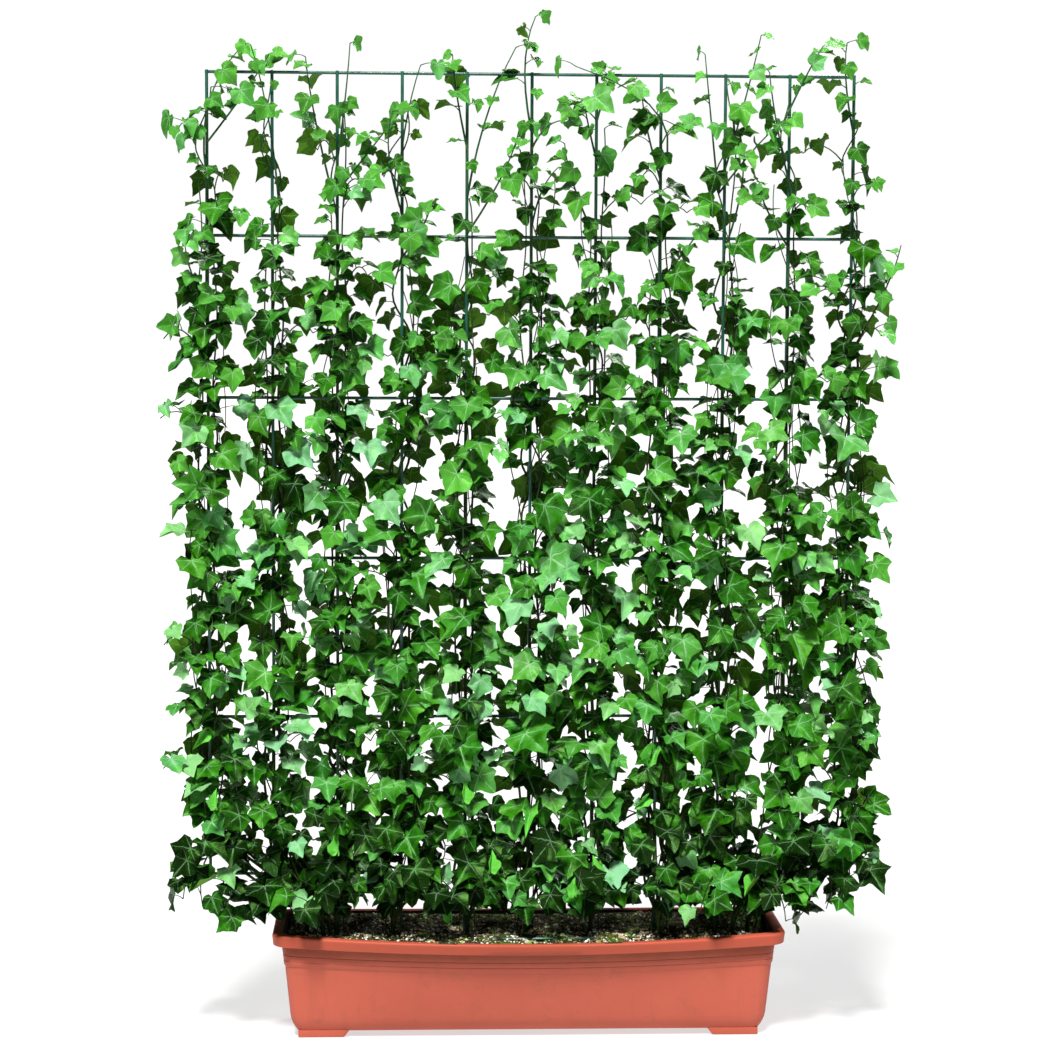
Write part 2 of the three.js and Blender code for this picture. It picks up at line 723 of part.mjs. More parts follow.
// How far the plant reaches to the left, to the front and down, and to the right, to the
// back and up. A leaf's tip and its side lobes stay inside.
const plantLow = [-578, -158, 0];
const plantHigh = [582, 165, 1590];
const lobeAcross = 0.6;
const lobeAlong = 0.36;
const tipAlong = 0.82;
function leavesBox(leaf) {
  const across = leaf.tip.clone().cross(leaf.normal).multiplyScalar(lobeAcross * leaf.size);
  const lobe = leaf.joint.clone().addScaledVector(leaf.tip, lobeAlong * leaf.size);
  const end = leaf.joint.clone().addScaledVector(leaf.tip, tipAlong * leaf.size);
  const outermost = [end, lobe.clone().add(across), lobe.clone().sub(across)];
  return outermost.some((point) => point.toArray()
    .some((value, k) => value <= plantLow[k] || value >= plantHigh[k]));
}

// Whether the round fields of two leaves cut each other.
function leavesCross(a, b) {
  const gap = b.centre.clone().sub(a.centre);
  if (gap.length() > a.reach + b.reach) return false;
  const line = a.normal.clone().cross(b.normal);
  const sine = line.length();
  if (sine < 0.05) return Math.abs(gap.dot(a.normal)) < 2.5;
  line.divideScalar(sine);
  const fromA = gap.dot(b.normal);
  const fromB = gap.dot(a.normal);
  const reachA = a.reach ** 2 - (fromA / sine) ** 2;
  const reachB = b.reach ** 2 - (fromB / sine) ** 2;
  if (reachA < 0 || reachB < 0) return false;
  const apart = Math.abs(gap.dot(line));
  return apart < Math.sqrt(reachA) + Math.sqrt(reachB);
}

const cellSize = 60;
function cellKey(point, dx, dy, dz) {
  const x = Math.floor(point.x / cellSize) + dx;
  const y = Math.floor(point.y / cellSize) + dy;
  const z = Math.floor(point.z / cellSize) + dz;
  return `${x},${y},${z}`;
}

function crossesAny(leaf, cells) {
  for (let dx = -1; dx <= 1; dx++) {
    for (let dy = -1; dy <= 1; dy++) {
      for (let dz = -1; dz <= 1; dz++) {
        const near = cells.get(cellKey(leaf.centre, dx, dy, dz)) ?? [];
        if (near.some((other) => leavesCross(leaf, other))) return true;
      }
    }
  }
  return false;
}

// Tries a few stalk lengths and directions until a leaf hangs free.
const leafTries = 7;
const tryTurn = 1.5;
const tryLonger = 2.5;
const stalkShare = [0.3, 0.5];
function placeLeaf(vine, foot, along, outward, size, keys, leaves, cells) {
  for (let n = 0; n < leafTries; n++) {
    const turn = outward + (n === 0 ? 0 : tryTurn * (draw(...keys, 60 + n) - 0.5));
    const stalk = size * within(stalkShare, draw(...keys, 70 + n) ** 2) + tryLonger * n;
    const leaf = poseLeaf(vine, foot, turn, size, stalk, [...keys, n]);
    if (leafBlocked(leaf) || leavesBox(leaf) || crossesAny(leaf, cells)) continue;
    const key = cellKey(leaf.centre, 0, 0, 0);
    if (!cells.has(key)) cells.set(key, []);
    cells.get(key).push(leaf);
    leaf.along = along;
    leaves.push(leaf);
    return;
  }
}

// Leaves are largest below and smaller above; a few are larger than the rest.
const lowLeaf = 46;
const highLeaf = 40;
const sizeShare = [0.64, 0.56];
const bigShare = 0.06;
const bigger = 1.3;
function leafSize(z, keys) {
  const full = mix(lowLeaf, highLeaf, ease((z - 700) / 700));
  const large = draw(...keys, 82) < bigShare ? bigger : 1;
  return full * within(sizeShare, draw(...keys, 81)) * large;
}

// How much further apart the leaves sit at a height: close below, loose near the top.
const lowSpread = 0.78;
const midSpread = 0.86;
const topSpread = 1.05;
function spreadAt(z) {
  return mix(lowSpread, midSpread, ease((z - 450) / 500)) + topSpread * ease((z - 1150) / 200);
}

// All leaves of the plant, in the order that they grow: shoots and twigs first, then strands,
// whose leaves swing from side to side as they follow each other down.
const lowestLeaf = 190;
const lowShoots = 300;
const leafSwings = [0.9, -1.1, 0.2, 1.7, -0.5, -1.8, 1.3];
const twigTender = 0.8;
const shootTender = 0.72;
const leafyShare = 0.82;
const sideSwing = [0.9, 0.7];
const strandTender = 0.6;
const tenderLength = 160;
const stepShare = [0.7, 0.6];
function growLeaves(vines) {
  const leaves = [];
  const cells = new Map();
  for (const { vine, arcs } of vines) {
    for (const arc of arcs) {
      const free = arc.key >= freeKey;
      const onShoot = arc.at(1).z > lowShoots ? shootTender : 1;
      const tender = free ? onShoot : twigTender;
      for (let i = 0; i < arc.leaves; i++) {
        const t = 1 - (i * leafyShare) / arc.leaves;
        const keys = [vine, arc.key, i];
        const foot = arc.at(t);
        const before = arc.at(t - 0.1);
        const heading = Math.atan2(foot.y - before.y, foot.x - before.x);
        const side = i % 2 ? 1 : -1;
        const sideways = i === 0 ? 0 : side * within(sideSwing, draw(...keys, 83));
        const size = leafSize(foot.z, keys) * mix(tender, 1, i / arc.leaves);
        placeLeaf(vine, foot, t, heading + sideways, size, keys, leaves, cells);
      }
    }
  }
  for (const { vine, strands } of vines) {
    for (const strand of strands) {
      const spacing = strandSpacings[strand.strand];
      let n = 0;
      let z = strand.top;
      while (z > lowestLeaf) {
        const keys = [vine, strand.strand, n];
        const foot = strand.at(z);
        const out = Math.atan2(foot.y, foot.x - wireXs[vine]);
        const swing = leafSwings[n % leafSwings.length] + 0.5 * (draw(...keys, 85) - 0.5);
        const tipness = ease((strand.top - z) / tenderLength);
        const size = leafSize(z, keys) * mix(strandTender, 1, tipness);
        placeLeaf(vine, foot, z, out + swing, size, keys, leaves, cells);
        z -= spacing * spreadAt(z) * within(stepShare, draw(...keys, 84));
        n++;
      }
    }
  }
  return leaves;
}

// Half of the lobed outline, from the stalk to the tip: across and along, for a leaf of size 1.
const lobesLarge = [[0.47, -0.18], [0.56, 0.36], [0.27, 0.44]];
const lobesSmall = [[0.5, 0.2], [0.28, 0.42]];
const tipReach = 0.81;
const bladeFold = 0.16;
const bladeDroop = 0.14;

function bladePoint(leaf, across, size, u, v) {
  return leaf.joint.clone()
    .addScaledVector(across, u * size)
    .addScaledVector(leaf.tip, v * size)
    .addScaledVector(leaf.normal, size * (bladeFold * Math.abs(u) - bladeDroop * v * v));
}

// The blade's outline from one side of the stalk round to the other, with the direction and
// amount of its thickness at each point. The blade is folded along the midrib.
function bladeOutline(leaf, stalk, extra) {
  const lobes = leaf.size > largeLeaf ? lobesLarge : lobesSmall;
  const size = leaf.size + 2 * extra;
  const across = leaf.tip.clone().cross(leaf.normal);
  const broad = across.clone().addScaledVector(stalk, -across.dot(stalk)).normalize();
  const flat = broad.clone().cross(stalk);
  const fold = leaf.normal.clone().add(flat);
  const mitre = fold.clone().multiplyScalar(2 / Math.max(0.7, fold.lengthSq()));
  const half = stalkWidth / 2 + extra;
  const blade = (u, v) => ({
    at: bladePoint(leaf, across, size, u, v),
    lift: leaf.normal,
    thick: bladeThickness,
  });
  const corner = (side) => ({
    at: leaf.joint.clone().addScaledVector(across, side * half),
    lift: mitre,
    thick: stalkThickness,
  });
  const outline = [
    corner(1),
    ...lobes.map(([u, v]) => blade(u, v)),
    blade(0, tipReach),
    ...lobes.map(([u, v]) => blade(-u, v)).reverse(),
    corner(-1),
  ];
  return { outline, broad, flat };
}

// The corners and faces of a blade that is open where its stalk joins it. The top corners
// come first, then the ones below them.
function bladeSkin(outline, extra) {
  const count = outline.length;
  const left = count - 1;
  const tipIndex = left / 2;
  const top = [[0, tipIndex, left]];
  for (let i = 1; i < tipIndex; i++) top.push([0, i, i + 1]);
  for (let i = tipIndex; i + 1 < left; i++) top.push([left, i, i + 1]);
  const points = [];
  for (const side of [0.5, -0.5]) {
    for (const { at, lift, thick } of outline) {
      points.push(at.clone().addScaledVector(lift, side * (thick + 2 * extra)));
    }
  }
  const faces = [];
  for (const [a, b, c] of top) faces.push([a, b, c], [a + count, c + count, b + count]);
  for (let i = 0; i + 1 < count; i++) {
    faces.push([i + count, i + 1 + count, i + 1], [i + count, i + 1, i]);
  }
  const mouth = [count, left + count, left, 0];
  return { points, faces, mouth };
}

// Walls between a four-cornered opening and the four corners of a blade's mouth, matched
// with the least twist.
function stalkFaces(points, opening, mouth, stalk) {
  const middle = (ids) => ids.reduce((sum, id) => sum.add(points[id]), new THREE.Vector3())
    .divideScalar(ids.length);
  const spokes = (ids) => {
    const centre = middle(ids);
    return ids.map((id) => points[id].clone().sub(centre).projectOnPlane(stalk).normalize());
  };
  const from = spokes(opening);
  const to = spokes(mouth);
  let turn = 0;
  let best = -Infinity;
  for (let k = 0; k < 4; k++) {
    const match = from.reduce((sum, spoke, i) => sum + spoke.dot(to[(i + k) % 4]), 0);
    if (match > best) {
      best = match;
      turn = k;
    }
  }
  const faces = [];
  for (let i = 0; i < 4; i++) {
    const j = (i + 1) % 4;
    const a = mouth[(i + turn) % 4];
    const b = mouth[(j + turn) % 4];
    faces.push([opening[i], opening[j], b], [opening[i], b, a]);
  }
  return faces;
}

function skinGeometry(points, faces) {
  const geometry = new THREE.BufferGeometry();
  const positions = new Float32Array(points.flatMap((point) => point.toArray()));
  geometry.setAttribute("position", new THREE.BufferAttribute(positions, 3));
  geometry.setIndex(faces.flat());
  return geometry;
}

// A leaf on its own with a closed stalk end, to test that it hangs clear of its neighbours.
// The stalk is as thick there as its root on the stem.
function testLeaf(leaf, extra) {
  const stalk = leaf.joint.clone().sub(leaf.foot).normalize();
  const { outline, broad, flat } = bladeOutline(leaf, stalk, extra);
  const { points, faces, mouth } = bladeSkin(outline, extra);
  const end = leaf.foot.clone().addScaledVector(stalk, stalkClear);
  const opening = [];
  for (const [side, lift] of [[1, -1], [-1, -1], [-1, 1], [1, 1]]) {
    opening.push(points.length);
    const corner = end.clone().addScaledVector(broad, side * rootHalf);
    points.push(corner.addScaledVector(flat, lift * rootHalf));
  }
  const [a, b, c, d] = opening;
  faces.push(...stalkFaces(points, opening, mouth, stalk), [a, c, b], [a, d, c]);
  return solidFrom(skinGeometry(points, faces));
}

// One stem with its leaves as one skin. At each leaf the tube has two rings close together,
// and the flat between them that faces the leaf is drawn out into the leaf's stalk.
function leafyStem(path, leaves) {
  const half = stalkBase / 2 / path.scale;
  const ends = [path.marks[0], path.marks[path.marks.length - 1]];
  const feet = leaves.map((leaf) => ({
    leaf,
    low: Math.min(Math.max(leaf.along, ends[0] + 3 * half), ends[1] - 3 * half) - half,
  })).sort((a, b) => a.low - b.low);
  const stops = [];
  for (const mark of path.marks) {
    const near = feet.some(({ low }) => Math.abs(low + half - mark) < 12 / path.scale);
    if (ends.includes(mark) || !near) stops.push({ s: mark });
  }
  for (const { leaf, low } of feet) stops.push({ s: low, leaf }, { s: low + 2 * half });
  stops.sort((a, b) => a.s - b.s);
  const stations = stops.map(({ s }) => ({ at: path.at(s), radius: path.radius(s) }));
  const rings = tubeRings(stations, stemSides);
  const points = rings.flat();
  const faces = [];
  for (let r = 0; r + 1 < rings.length; r++) {
    const { leaf } = stops[r];
    const foot = path.at(stops[r].s + half);
    const toLeaf = leaf ? leaf.joint.clone().sub(foot).normalize() : null;
    let open = -1;
    if (leaf) {
      const facing = (k) => rings[r][k].clone().add(rings[r][(k + 1) % stemSides])
        .multiplyScalar(0.5).sub(path.at(stops[r].s)).normalize().dot(toLeaf);
      open = 0;
      for (let k = 1; k < stemSides; k++) if (facing(k) > facing(open)) open = k;
    }
    for (let k = 0; k < stemSides; k++) {
      const a = r * stemSides + k;
      const b = r * stemSides + ((k + 1) % stemSides);
      if (k !== open) {
        faces.push([a, b, b + stemSides], [a, b + stemSides, a + stemSides]);
        continue;
      }
      const first = points.length;
      const skin = bladeSkin(bladeOutline(leaf, toLeaf, 0).outline, 0);
      points.push(...skin.points);
      faces.push(...skin.faces.map((face) => face.map((id) => id + first)));
      const opening = [a, b, b + stemSides, a + stemSides];
      faces.push(...stalkFaces(points, opening, skin.mouth.map((id) => id + first), toLeaf));
    }
  }
  const last = (rings.length - 1) * stemSides;
  for (let i = 1; i + 1 < stemSides; i++) {
    faces.push([0, i + 1, i], [last, last + i, last + i + 1]);
  }
  return solidFrom(skinGeometry(points, faces));
}

// Every leaf that the plant grows is worked out above. The solid carries some of them at
// true size: each free shoot's, then those furthest out, then the largest, kept evenly apart
// on both faces.
const shootGap = 42;
const leafGap = 66;
const furthestOut = 540;
const shortest = strandCount - 1;
function isCarried(vine, strand) {
  return strand === 0 || (strand === shortest && outRank(vine) > 0);
}

function chooseLeaves(leaves) {
  const chosen = [];
  const isFree = (leaf) => leaf.keys[1] >= freeKey;
  const carried = leaves.filter((leaf) => isFree(leaf) || isCarried(leaf.vine, leaf.keys[1]));
  const isOut = (leaf) => Math.abs(leaf.centre.x) > furthestOut;
  const rank = (leaf) => leaf.size + (isFree(leaf) ? 200 - leaf.keys[2] : 0)
    + (isOut(leaf) ? 100 : 0);
  carried.sort((a, b) => rank(b) - rank(a));
  for (const leaf of carried) {
    const gap = isFree(leaf) ? shootGap : leafGap;
    const crowded = chosen.some((other) => other.normal.y * leaf.normal.y > 0
      && other.centre.distanceTo(leaf.centre) < gap);
    if (!crowded) chosen.push(leaf);
  }
  return chosen;
}

function boxesMeet(a, b, margin) {
  const p = a.boundingBox();
  const q = b.boundingBox();
  return [0, 1, 2].every((k) => p.min[k] - margin < q.max[k] && q.min[k] - margin < p.max[k]);
}

function overlaps(a, b) {
  return boxesMeet(a, b, 0) && !a.intersect(b).isEmpty();
}

// A strand or a free shoot as a path: its stations, its place and its thickness at each.
const arcSteps = 3;
function strandPath(strand, arcs) {
  const marks = [...strandMarks(strand), ...arcs.map((arc) => arc.at(0).z)];
  marks.sort((a, b) => a - b);
  return { marks, at: strand.at, radius: strand.radiusAt, scale: 1 };
}

function arcPath(arc) {
  const marks = [];
  for (let i = 0; i <= arcSteps; i++) marks.push(i / arcSteps);
  const scale = arc.at(0).distanceTo(arc.at(1));
  return { marks, at: arc.at, radius: (t) => mix(arc.thick, 0.8, t), scale };
}

function bareStem(path, extra = 0) {
  const stations = path.marks.map((s) => ({ at: path.at(s), radius: path.radius(s) + extra }));
  return tube(stations, stemSides);
}

// The whole plant
const crowns = wireXs.map((x, vine) => crownOf(vine));
const vines = wireXs.map((x, vine) => {
  const strands = [];
  for (let strand = 0; strand < strandCount; strand++) strands.push(makeStrand(vine, strand));
  return { vine, strands, arcs: makeTwigs(vine, strands) };
});
const allLeaves = growLeaves(vines);

const trough = makeTrough();
const soil = makeSoil(crowns);
const rod = makeRod();
const trellis = makeTrellis();
const wideTrellis = makeTrellis(testGap);

// The stems that the solid carries: the leaders, the short strands of the vines that lean
// out, and each free shoot that passes clear of the wires and of the other vines.
const stems = [];
for (const { vine, strands, arcs } of vines) {
  const shoots = arcs.filter((arc) => arc.key >= freeKey);
  for (const strand of strands) {
    if (!isCarried(vine, strand.strand)) continue;
    const path = strandPath(strand, strand.strand === 0 ? shoots : []);
    stems.push({ vine, key: strand.strand, path, leaves: [], solid: bareStem(path) });
  }
}
for (const { vine, arcs } of vines) {
  for (const shoot of arcs) {
    if (shoot.key < freeKey) continue;
    const path = arcPath(shoot);
    const wide = bareStem(path, testGap);
    const others = stems.filter((stem) => stem.vine !== vine).map(({ solid }) => solid);
    if ([wideTrellis, ...others].some((other) => overlaps(wide, other))) continue;
    stems.push({ vine, key: shoot.key, path, leaves: [], solid: bareStem(path) });
  }
}

// The leaves are hung one by one. A leaf stays where it hangs clear of everything else.
const hung = [];
for (const leaf of chooseLeaves(allLeaves)) {
  const stem = stems.find(({ vine, key }) => vine === leaf.vine && key === leaf.keys[1]);
  if (!stem) continue;
  const wide = testLeaf(leaf, testGap);
  const near = (other) => Math.abs(other.vine - leaf.vine) < 3;
  const others = [wideTrellis, trough, soil, rod];
  others.push(...stems.filter(near).map(({ solid }) => solid));
  others.push(...hung.filter(near).map(({ solid }) => solid));
  if (others.some((other) => overlaps(wide, other))) continue;
  hung.push({ vine: leaf.vine, solid: testLeaf(leaf, 0) });
  stem.leaves.push(leaf);
}

function paint(color, roughness, metalness = 0) {
  return new THREE.MeshStandardMaterial({ color, roughness, metalness });
}

const group = new THREE.Group();
function place(name, solid, material) {
  const mesh = new THREE.Mesh(geometryFrom(solid), material);
  mesh.name = name;
  group.add(mesh);
}

place("trough", trough, paint(0xd8694f, 0.55));
place("soil", soil, paint(0x3a2a1c, 0.95));
place("trellis", trellis, paint(0x0f5a44, 0.4, 0.2));
place("loose_rod", rod, paint(0x0f5a44, 0.4, 0.2));
for (const { vine } of vines) {
  const own = stems.filter((stem) => stem.vine === vine);
  const whole = wasm.Manifold.union(own.map((stem) => leafyStem(stem.path, stem.leaves)));
  const bodies = whole.decompose().sort((a, b) => b.volume() - a.volume());
  place(`ivy_${vine + 1}`, bodies[0], paint(0x3c7a34, 0.5));
}

export default group;
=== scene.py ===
import math

import bmesh
import bpy
from mathutils import Matrix, Vector, noise


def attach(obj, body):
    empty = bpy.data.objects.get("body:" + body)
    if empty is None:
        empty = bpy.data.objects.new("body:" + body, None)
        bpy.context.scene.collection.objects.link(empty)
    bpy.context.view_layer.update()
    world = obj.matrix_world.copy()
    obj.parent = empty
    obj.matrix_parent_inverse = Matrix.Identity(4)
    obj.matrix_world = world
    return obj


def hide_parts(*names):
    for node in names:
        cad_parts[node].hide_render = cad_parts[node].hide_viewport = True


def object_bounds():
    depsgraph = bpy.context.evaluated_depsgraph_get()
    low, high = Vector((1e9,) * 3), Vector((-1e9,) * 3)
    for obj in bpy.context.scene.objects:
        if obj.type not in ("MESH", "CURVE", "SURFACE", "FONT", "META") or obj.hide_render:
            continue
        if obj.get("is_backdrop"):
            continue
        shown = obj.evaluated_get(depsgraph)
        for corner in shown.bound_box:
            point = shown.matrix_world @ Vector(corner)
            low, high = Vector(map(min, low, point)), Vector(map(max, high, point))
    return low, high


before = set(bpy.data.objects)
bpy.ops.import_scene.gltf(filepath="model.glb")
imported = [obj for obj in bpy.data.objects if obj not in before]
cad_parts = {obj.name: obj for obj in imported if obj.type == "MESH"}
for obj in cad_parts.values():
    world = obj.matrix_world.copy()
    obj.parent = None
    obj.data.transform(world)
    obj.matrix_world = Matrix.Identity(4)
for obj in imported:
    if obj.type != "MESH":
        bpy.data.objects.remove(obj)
cad_low, cad_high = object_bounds()

# Potted ivy: a long bowed trough of soil, a welded wire trellis that stands in it, and eleven
# ivy plants that have wound up the wires. Sizes are in millimetres, and a piece is brought to
# metres as it is finished. The front looks towards -Y.


# Viewpoint, floor and light. The camera stands four metres off, a little under the plant's
# top, turned slightly to the right of straight on. The floor is plain and pale, and one
# large soft light hangs in front and above, with the sky's even light all round.
camera_distance = 4.0
camera_height = 1.134
camera_side = -0.0074
camera_yaw = math.radians(2.5)
camera_pitch = math.radians(4.81)
camera_roll = math.radians(0.3)
sensor_width = 36.0
focal_pixels = 2565.0
photo_width = 1050.0

camera_data = bpy.data.cameras.new("camera")
camera_data.sensor_width = sensor_width
camera_data.lens = focal_pixels / photo_width * sensor_width
camera_data.clip_end = 200.0
camera = bpy.data.objects.new("camera", camera_data)
bpy.context.scene.collection.objects.link(camera)
ahead = Vector((
    math.sin(camera_yaw) * math.cos(camera_pitch),
    math.cos(camera_yaw) * math.cos(camera_pitch),
    -math.sin(camera_pitch)))
right = Vector((math.cos(camera_yaw), -math.sin(camera_yaw), 0.0))
above = right.cross(ahead)
rolled_right = right * math.cos(camera_roll) + above * math.sin(camera_roll)
rolled_above = above * math.cos(camera_roll) - right * math.sin(camera_roll)
turn = Matrix((rolled_right, rolled_above, -ahead)).transposed()
place = Vector((
    camera_side - camera_distance * math.sin(camera_yaw),
    -camera_distance * math.cos(camera_yaw),
    camera_height))
camera.matrix_world = Matrix.Translation(place) @ turn.to_4x4()
bpy.context.scene.camera = camera
bpy.context.scene.view_settings.view_transform = "Standard"


def new_material(name, colour, roughness, **sockets):
    """A material with its own shader, whose plain values are set on the shader's sockets."""
    material = bpy.data.materials.new(name)
    material.use_nodes = True
    shader = material.node_tree.nodes["Principled BSDF"]
    shader.inputs["Base Color"].default_value = (*colour, 1.0)
    shader.inputs["Roughness"].default_value = roughness
    for socket, value in sockets.items():
        shader.inputs[socket.replace("_", " ")].default_value = value
    return material


white = (1.0, 1.0, 1.0)
floor_reach = 40.0
floor_grey = 0.29
floor_glow = 0.62
floor_bm = bmesh.new()
bmesh.ops.create_grid(floor_bm, x_segments=1, y_segments=1, size=floor_reach)
floor_mesh = bpy.data.meshes.new("floor")
floor_bm.to_mesh(floor_mesh)
floor_bm.free()
floor_mesh.materials.append(new_material(
    "pale_floor", (floor_grey, floor_grey, floor_grey), 0.95,
    Emission_Color=(*white, 1.0), Emission_Strength=floor_glow))
floor = bpy.data.objects.new("floor", floor_mesh)
bpy.context.scene.collection.objects.link(floor)
floor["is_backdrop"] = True

sky_light = 0.12
sky_seen = 1.02
world = bpy.data.worlds.new("even_sky")
world.use_nodes = True
sky_nodes = world.node_tree.nodes
rays = sky_nodes.new("ShaderNodeLightPath")
level = sky_nodes.new("ShaderNodeMapRange")
level.inputs["To Min"].default_value = sky_light
level.inputs["To Max"].default_value = sky_seen
world.node_tree.links.new(rays.outputs["Is Camera Ray"], level.inputs["Value"])
world.node_tree.links.new(level.outputs["Result"], sky_nodes["Background"].inputs["Strength"])
sky_nodes["Background"].inputs["Color"].default_value = (*white, 1.0)
bpy.context.scene.world = world


def soft_sun(name, come_from, strength, spread, colour):
    """A sun lamp: the side it shines from, its strength, and its breadth in degrees."""
    data = bpy.data.lights.new(name, "SUN")
    data.energy = strength
    data.angle = math.radians(spread)
    data.color = colour
    light = bpy.data.objects.new(name, data)
    light.rotation_euler = Vector(come_from).to_track_quat("Z", "Y").to_euler()
    bpy.context.scene.collection.objects.link(light)


soft_sun("key", (-0.12, -0.48, 0.87), 5.8, 11.0, (1.0, 0.99, 0.97))
soft_sun("back", (0.5, 0.75, 0.8), 1.5, 14.0, white)


# Trough. It is one piece of moulded plastic, a thin shell with a turned-down rim. The weight
# of the soil has bowed its long sides out and pulled the rim down in the middle. A small step
# and two fine lines are moulded round it under the rim, and it stands on a foot at each end.
MM = 0.001
trough_length = 800.0
trough_depth = 190.0
rim_top = 168.0
rim_skirt = 18.0
rim_overhang = 12.0
wall = 3.2
bow = 30.0
rim_sag = 9.0
body_base = 10.0
bottom_inset = 30.0
top_inset = 14.0
side_lean = 0.82
curve_inset = 8.0
curve_height = 26.0
corner_radius = 26.0
corner_shrink = 0.35
least_corner = 6.0
step_height = 116.0
step_out = 1.4
step_start = 1.5
step_rise = 2.5
line_heights = (124.0, 133.5)
line_depth = 0.6
line_half = 0.7
line_core = 0.2
foot_inner = 280.0
foot_outer = 360.0
foot_half_depth = 66.0
foot_wall = 1.5
foot_slope = 9.0
foot_round = 1.6
trough_crease = math.radians(38)


def mix(a, b, t):
    return a + (b - a) * t


def ease(t):
    s = min(1.0, max(0.0, t))
    return s * s * (3.0 - 2.0 * s)


def trough_outline(half_length, half_depth, corner, bulge, corner_steps=8, side_steps=26):
    """The level outline of the trough: straight ends, round corners and bowed long sides."""
    straight = half_length - corner
    points = []
    for side in (-1, 1):
        for i in range(corner_steps + 1):
            angle = i / corner_steps * math.pi / 2
            x = side * (-straight - corner * math.cos(angle))
            points.append((x, side * (half_depth - corner + corner * math.sin(angle))))
        for i in range(1, side_steps):
            share = i / side_steps
            x = side * mix(-straight, straight, share)
            points.append((x, side * (half_depth + bulge * (1 - (2 * share - 1) ** 2))))
        for i in range(corner_steps):
            angle = i / corner_steps * math.pi / 2
            x = side * (straight + corner * math.sin(angle))
            points.append((x, side * (half_depth - corner + corner * math.cos(angle))))
    return points


def height_share(z):
    """How far up the body a height lies: 0 at its base, 1 at the top of the rim."""
    return (z - body_base) / (rim_top - body_base)


def body_inset(z):
    """How far in from the rim's outer edge the body stands at a height."""
    lean = mix(bottom_inset, top_inset, height_share(z))
    curve = curve_inset * max(0.0, 1 - (z - body_base) / curve_height) ** 2
    return lean + curve - step_out * ease((z - step_height + step_start) / step_rise)


def level_size(inset, shift=0.0):
    """Half the length, half the depth and the corner radius of the outline at an inset."""
    half_length = trough_length / 2 - inset - shift
    half_depth = trough_depth / 2 - inset * side_lean - shift
    corner = max(least_corner, corner_radius - inset * corner_shrink - shift)
    return half_length, half_depth, corner


def trough_level(z, inset):
    """The corners of the outline at a height, pulled down in the middle of the long sides."""
    share = height_share(z)
    half_length, half_depth, corner = level_size(inset)
    level = []
    for x, y in trough_outline(half_length, half_depth, corner, bow * share):
        along = min(1.0, abs(x) / half_length)
        level.append(Vector((x, y, z - rim_sag * share * (1 - along * along))))
    return level


def raise_ring(bm, ring, level):
    """Extrudes a closed ring of corners to a new level, and returns the new ring in order."""
    edges = [bm.edges.get((a, b)) for a, b in zip(ring, ring[1:] + ring[:1])]
    made = bmesh.ops.extrude_edge_only(bm, edges=edges)["geom"]
    fresh = {v for v in made if isinstance(v, bmesh.types.BMVert)}
    raised = [next(e.other_vert(v) for e in v.link_edges if e.other_vert(v) in fresh) for v in ring]
    for vert, point in zip(raised, level):
        vert.co = point
    return raised


def finish_piece(bm, name, materials, nodes=(), smooth=True):
    """Brings a bmesh to metres and makes it a piece that rides on the one body."""
    bmesh.ops.scale(bm, vec=(MM, MM, MM), verts=bm.verts)
    for face in bm.faces:
        face.smooth = smooth
    mesh = bpy.data.meshes.new(name)
    bm.to_mesh(mesh)
    bm.free()
    for material in materials:
        mesh.materials.append(material)
    piece = bpy.data.objects.new(name, mesh)
    bpy.context.scene.collection.objects.link(piece)
    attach(piece, "root")
    if nodes:
        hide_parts(*nodes)
    return piece


skirt_foot = rim_top - rim_skirt
body_heights = (body_base + 0.7, 13, 17, 22, 28, 36, 60, 90, step_height - 3,
                step_height - 1.5, step_height - 0.4, step_height + 1.0)
line_profile = ((-line_half, 0.0), (-line_core, line_depth), (line_core, line_depth), (line_half, 0.0))
outer_levels = [(body_base, body_inset(body_base) + 2.2)]
outer_levels += [(z, body_inset(z)) for z in body_heights]
outer_levels += [(z + rise, body_inset(z) + sunk) for z in line_heights for rise, sunk in line_profile]
rim_levels = [
    (skirt_foot - 4, body_inset(skirt_foot)),
    (rim_top - wall - 1, rim_overhang + 0.6),
    (rim_top - wall, rim_overhang - 1),
    (rim_top - wall, wall + 1),
    (skirt_foot + 0.6, wall + 2.2),
    (skirt_foot, wall + 1.6),
    (skirt_foot, 2.2),
    (skirt_foot + 0.6, 1.4),
    (skirt_foot + 9, 0.6),
    (rim_top - 4.5, 0.0),
    (rim_top - 3, 0.0),
    (rim_top - 1.4, 0.6),
    (rim_top - 0.4, 2.0),
    (rim_top, 3.8),
    (rim_top, rim_overhang + wall - 1.6),
    (rim_top - 1.2, rim_overhang + wall),
    (rim_top - 6, rim_overhang + wall + 0.1),
]
inner_levels = [
    (step_height, body_inset(step_height) + wall),
    (body_base + curve_height, body_inset(body_base + curve_height) + wall),
    (body_base + wall, body_inset(body_base + 4) + wall + 3),
]

trough_bm = bmesh.new()
first_level = trough_level(*outer_levels[0])
ring = bmesh.ops.create_circle(trough_bm, cap_ends=True, segments=len(first_level))["verts"]
for vert, point in zip(ring, first_level):
    vert.co = point
for z, inset in outer_levels[1:] + rim_levels + inner_levels:
    ring = raise_ring(trough_bm, ring, trough_level(z, inset))
bmesh.ops.contextual_create(trough_bm, geom=ring)
bmesh.ops.recalc_face_normals(trough_bm, faces=trough_bm.faces)

